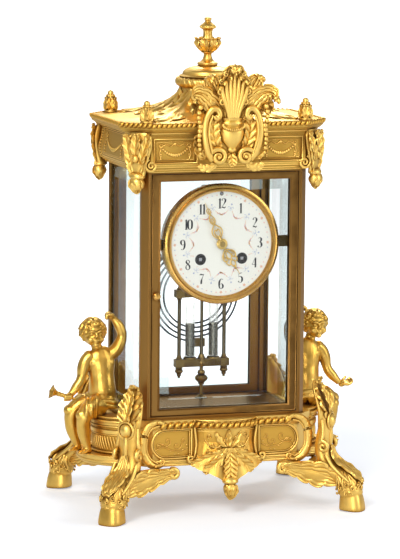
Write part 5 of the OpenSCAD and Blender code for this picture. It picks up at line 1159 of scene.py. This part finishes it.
# Winding holes: a black ring round each hole and a black disc set behind the dial inside it are painted shade
# that makes the holes dark; a steel square stands in each
F, G, H = Form(), Form(), Form()
for x in (WX, -WX):
    F.turn([(4.4, -0.6), (4.4, 0.2), (4.7, 0.35), (5.05, 0.2), (5.1, 0)], n=40)
    F.v[-1] = F.v[-1][:, (0, 2, 1)] * arr(1, -1, 1) + dp(x, WY, 0)
    G.add([dp(x + 4.45 * cos(t), 4.45 * sin(t) + WY, -1.5) for t in around(32)], [tuple(range(32))])
    H.rings([[dp(x + w * i, w * j + WY, d) for i, j in ((-1, -1), (1, -1), (1, 1), (-1, 1))]
             for d, w in ((-1.8, 1.4), (0.0, 1.4), (0.25, 1.1))])
F.build("winding_hole_shade_rings", dark)
G.build("winding_hole_shade_discs", dark)
H.build("winding_squares", steel)

# Pendulum dressed: middle rod, dark sleeves and turned drops
F, G = Form(), Form()
F.turn([(1.5, 6), (1.5, 66)], (0, 10, PZ), 16)
for k in SIDES:
    foot = (k * 21.5, 10, PZ)
    F.turn([(1.75, 9), (1.75, 62)], foot, 16)
    G.turn(rows("2.7 7, 3.1 7.6, 2.5 8.4, 2 9, 2.3 9.8, 1.7 10.6"), foot, 20)
    G.turn(rows(".3 -10.6, 1.3 -9.8, 1.1 -8.8, 2.4 -7.6, 1.5 -6.4, 3.2 -5.2, 3.9 -4, 3.3 -2.8, 1.9 -2, "
                "2.9 -1.2, 3.1 -.2, 2 .4"), foot, 24)
F.build("pendulum_rods", dull_dark, body="pendulum")
G.build("pendulum_drops", dull, body="pendulum")


# Hands in the Louis style, pierced scrollwork
def hand(name, node, body, length, deg, z, scrolls):
    F = Form()
    y0 = -FACE - z
    a = radians(90 - deg)

    def P(s, o):
        """A point s along the hand and o beside it."""
        return arr(cos(a) * s - sin(a) * o, y0, DIAL + sin(a) * s + cos(a) * o)

    hub = ((4.9, -0.35, 0.3), (3.7, -0.75, -0.3), (2.2, -1.1, -0.6))
    for r, d0, d1 in hub[:3 if body == "centre" else 1]:
        F.rings([[P(*polar(r * q, t)) + Y * d for t in around(32)]
                 for d, q in ((d1, 1), (d0 + 0.15, 1), (d0, 0.93))])
    lines = [(e, part) for e in SIDES for part in scrolls.split(";")]
    for e, part in lines + [(0, ".7 0 1.1, .8 0 1, .9 0 .7, 1 0 .3"), (0, ".1 0 2.2, .2 0 1.5")]:
        F.tube([(*P(s * length, o * e), 0.5 * r) for s, o, r in rows(part)], k=6)
    # the sides that the two hands turn towards each other are filed flat, so they pass clear
    for v in F.v:
        v[:, 1] = np.minimum(v[:, 1], y0 + 0.62) if body == "centre" else np.maximum(v[:, 1], y0 - 0.62)
    o = F.build(name, hands, body=body)
    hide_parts(node)


hand("minute_hand_pierced", "minute_hand", "centre", 41, 336, 2.6,
     ".13 .6 1.3, .2 3.2 1.2, .28 4.7 1.2, .36 4.1 1.2, .42 2.1 1.2, .47 .3 1.2;"
     ".17 .3 1.1, .24 2.3 1.1, .31 2.5 1.1, .35 1 1.1, .31 .3 .9;"
     ".47 .3 1.2, .53 2.1 1.1, .6 2.3 1.1, .67 1 1, .71 .2 1.1;"
     ".5 .3 .9, .56 1 .9, .62 .2 .8; .71 .2 1.1, .76 1.4 .9, .82 1.5 .8, .85 .7 .7")
hand("hour_hand_pierced", "hour_hand", "hour", 33, 148, 1.25,
     ".2 .6 1.5, .25 3 1.3, .32 5.4 1.3, .41 6.2 1.3, .49 5.2 1.2, .49 3.4 1.1, .43 2.8 1, .37 3.6 .9;"
     ".24 .2 1.3, .32 1.8 1.2, .43 1.9 1.2, .52 .2 1.3;"
     ".47 4.8 1.3, .55 5.3 1.2, .62 4.2 1.2, .61 2.6 1.1, .56 2.2 .9;"
     ".52 .2 1.3, .6 2 1.2, .68 1.6 1.2, .75 .2 1.3; .3 3.6 1, .36 4.8 .9, .42 4.4 .9")

# Gong as a smooth round wire, its middle 55.4 below the dial's
F = Form()
L = []
for t in span(385):
    x, z = polar(44 - 16.8 * t, radians(-90 - 1440 * t))
    L.append((x, 30, DIAL - 55.4 + z))
F.wire(L, 10, 0.9)
F.build("gong_wire", blue)
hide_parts("gong")

# Case: fine reeds on the posts, and lines round the doors
F = Form()
for x in (6.2 - HW, HW - 6.2):
    for e in SIDES:
        F.wire([(x, e * (HD - 0.05), z) for z in (CASE + 1, TOP - 2.4)], 6, 0.45)
F.build("post_reeds", brown)
for e, door in ((-1, "front_door"), (1, "rear_door")):
    F = Form()
    for o, r in ((0.5, 0.35), (6.6, 0.4), (7.6, 0.3)):
        F.wire(rectangle(0, e * (HD - 0.05), (CASE + TOP - 1.6) / 2, 68.4 - o,
                         (TOP - CASE - 2.8) / 2 - o * 0.775), 6, r)
    F.build(door + "_lines", brown, body=door)

for o in nodes.values():
    o.data.shade_smooth()
    o.data.set_sharp_from_angle(angle=radians(32))
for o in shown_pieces():
    if o.name not in nodes and not o.name.startswith(("numerals", "dial_")):
        o.data.set_sharp_from_angle(angle=radians(60))

# Floor, camera and light
me = bpy.data.meshes.new("floor")
me.from_pydata([(x, y, -0.0002) for x, y in ((-30, -6), (30, -6), (30, 60), (-30, 60))], [], [(0, 1, 2, 3)])
floor = placed("floor", me)
m = Mat("pale sweep")
dif = m.new("BsdfDiffuse", {0: m.mix(m.noise(3, 2), (0.77, 0.82, 0.90), (0.81, 0.85, 0.92))})
away = m.new("VectorMath", {0: m.coords()}, operation="LENGTH").outputs["Value"]
fade = m.new("MapRange", {"Value": away, "From Min": 0.35, "From Max": 1.1, "To Min": 0.30, "To Max": 1.0})
glow = m.new("Emission", {"Strength": m.math("MULTIPLY", fade.outputs[0], m.seen_direct())})
m.output(m.new("AddShader", {0: dif.outputs[0], 1: glow.outputs[0]}))
me.materials.append(m.m)

az, el, roll = radians(-18.154), radians(8.039), radians(0.515)
back = Vector((sin(az) * cos(el), -cos(az) * cos(el), sin(el)))
right = Vector((0, 0, 1)).cross(back).normalized()
up = back.cross(right)
cam = bpy.data.cameras.new("camera")
co = placed("camera", cam)
turned = Matrix((cos(roll) * right + sin(roll) * up, cos(roll) * up - sin(roll) * right, back)).transposed()
co.matrix_world = Matrix.Translation(back * 3.07514 + Vector((-0.00528, 0, 0.202))) @ turned.to_4x4()
cam.sensor_width = 36
# the focal length and the height of the photograph, in its pixels
cam.lens = 3393.51 / 559 * 36
cam.clip_end = 90
bpy.context.scene.camera = co


def lamp(name, at, to, size, power, col=(1, 1, 1)):
    d = bpy.data.lights.new(name, "AREA")
    d.shape, d.size, d.size_y, d.energy, d.color = "RECTANGLE", *size, power, col
    o = placed(name, d)
    o.location = at
    o.rotation_euler = (Vector(to) - Vector(at)).to_track_quat("-Z", "Y").to_euler()


lamp("key", (-1.1, -1.5, 1.5), (0, 0, 0.2), (0.7, 0.9), 27, (1, 0.98, 0.95))
lamp("fill", (1.5, -1.3, 0.7), (0, 0, 0.22), (0.6, 1.2), 9, (0.97, 0.98, 1))
lamp("low", (-0.7, -1.5, 0.16), (0, 0, 0.05), (0.9, 0.22), 5, (1, 0.98, 0.94))
lamp("rim", (0.6, 1.3, 1.4), (0, 0, 0.25), (0.8, 0.5), 12)

# World: a patchy studio in the reflections, white where it is seen itself
w = bpy.data.worlds.new("studio")
bpy.context.scene.world = w
w.use_nodes = True
m = Mat(tree=w.node_tree)
where = m.coords("Generated")
high = m.math("MULTIPLY_ADD", m.new("SeparateXYZ", {0: where}).outputs[2], 0.5, 0.5)
env = m.ramp(high, rows("0 .62 .61 .6, .44 .42 .4 .38, .52 .16 .15 .14, .62 .55 .55 .55, "
                        ".8 1 1 1, 1 .5 .5 .5"))
patches = m.ramp(m.noise(1.6, 1, 0.5, where), rows(".42 .35 .34 .33, .58 1.15 1.15 1.15"))
env = m.mix(1.0, env, patches, "MULTIPLY")
m.fill(w.node_tree.nodes["Background"], {0: m.mix(m.seen_direct(), env, (1.0, 1.0, 1.0)), 1: 1.0})
bpy.context.scene.view_settings.view_transform = "Standard"
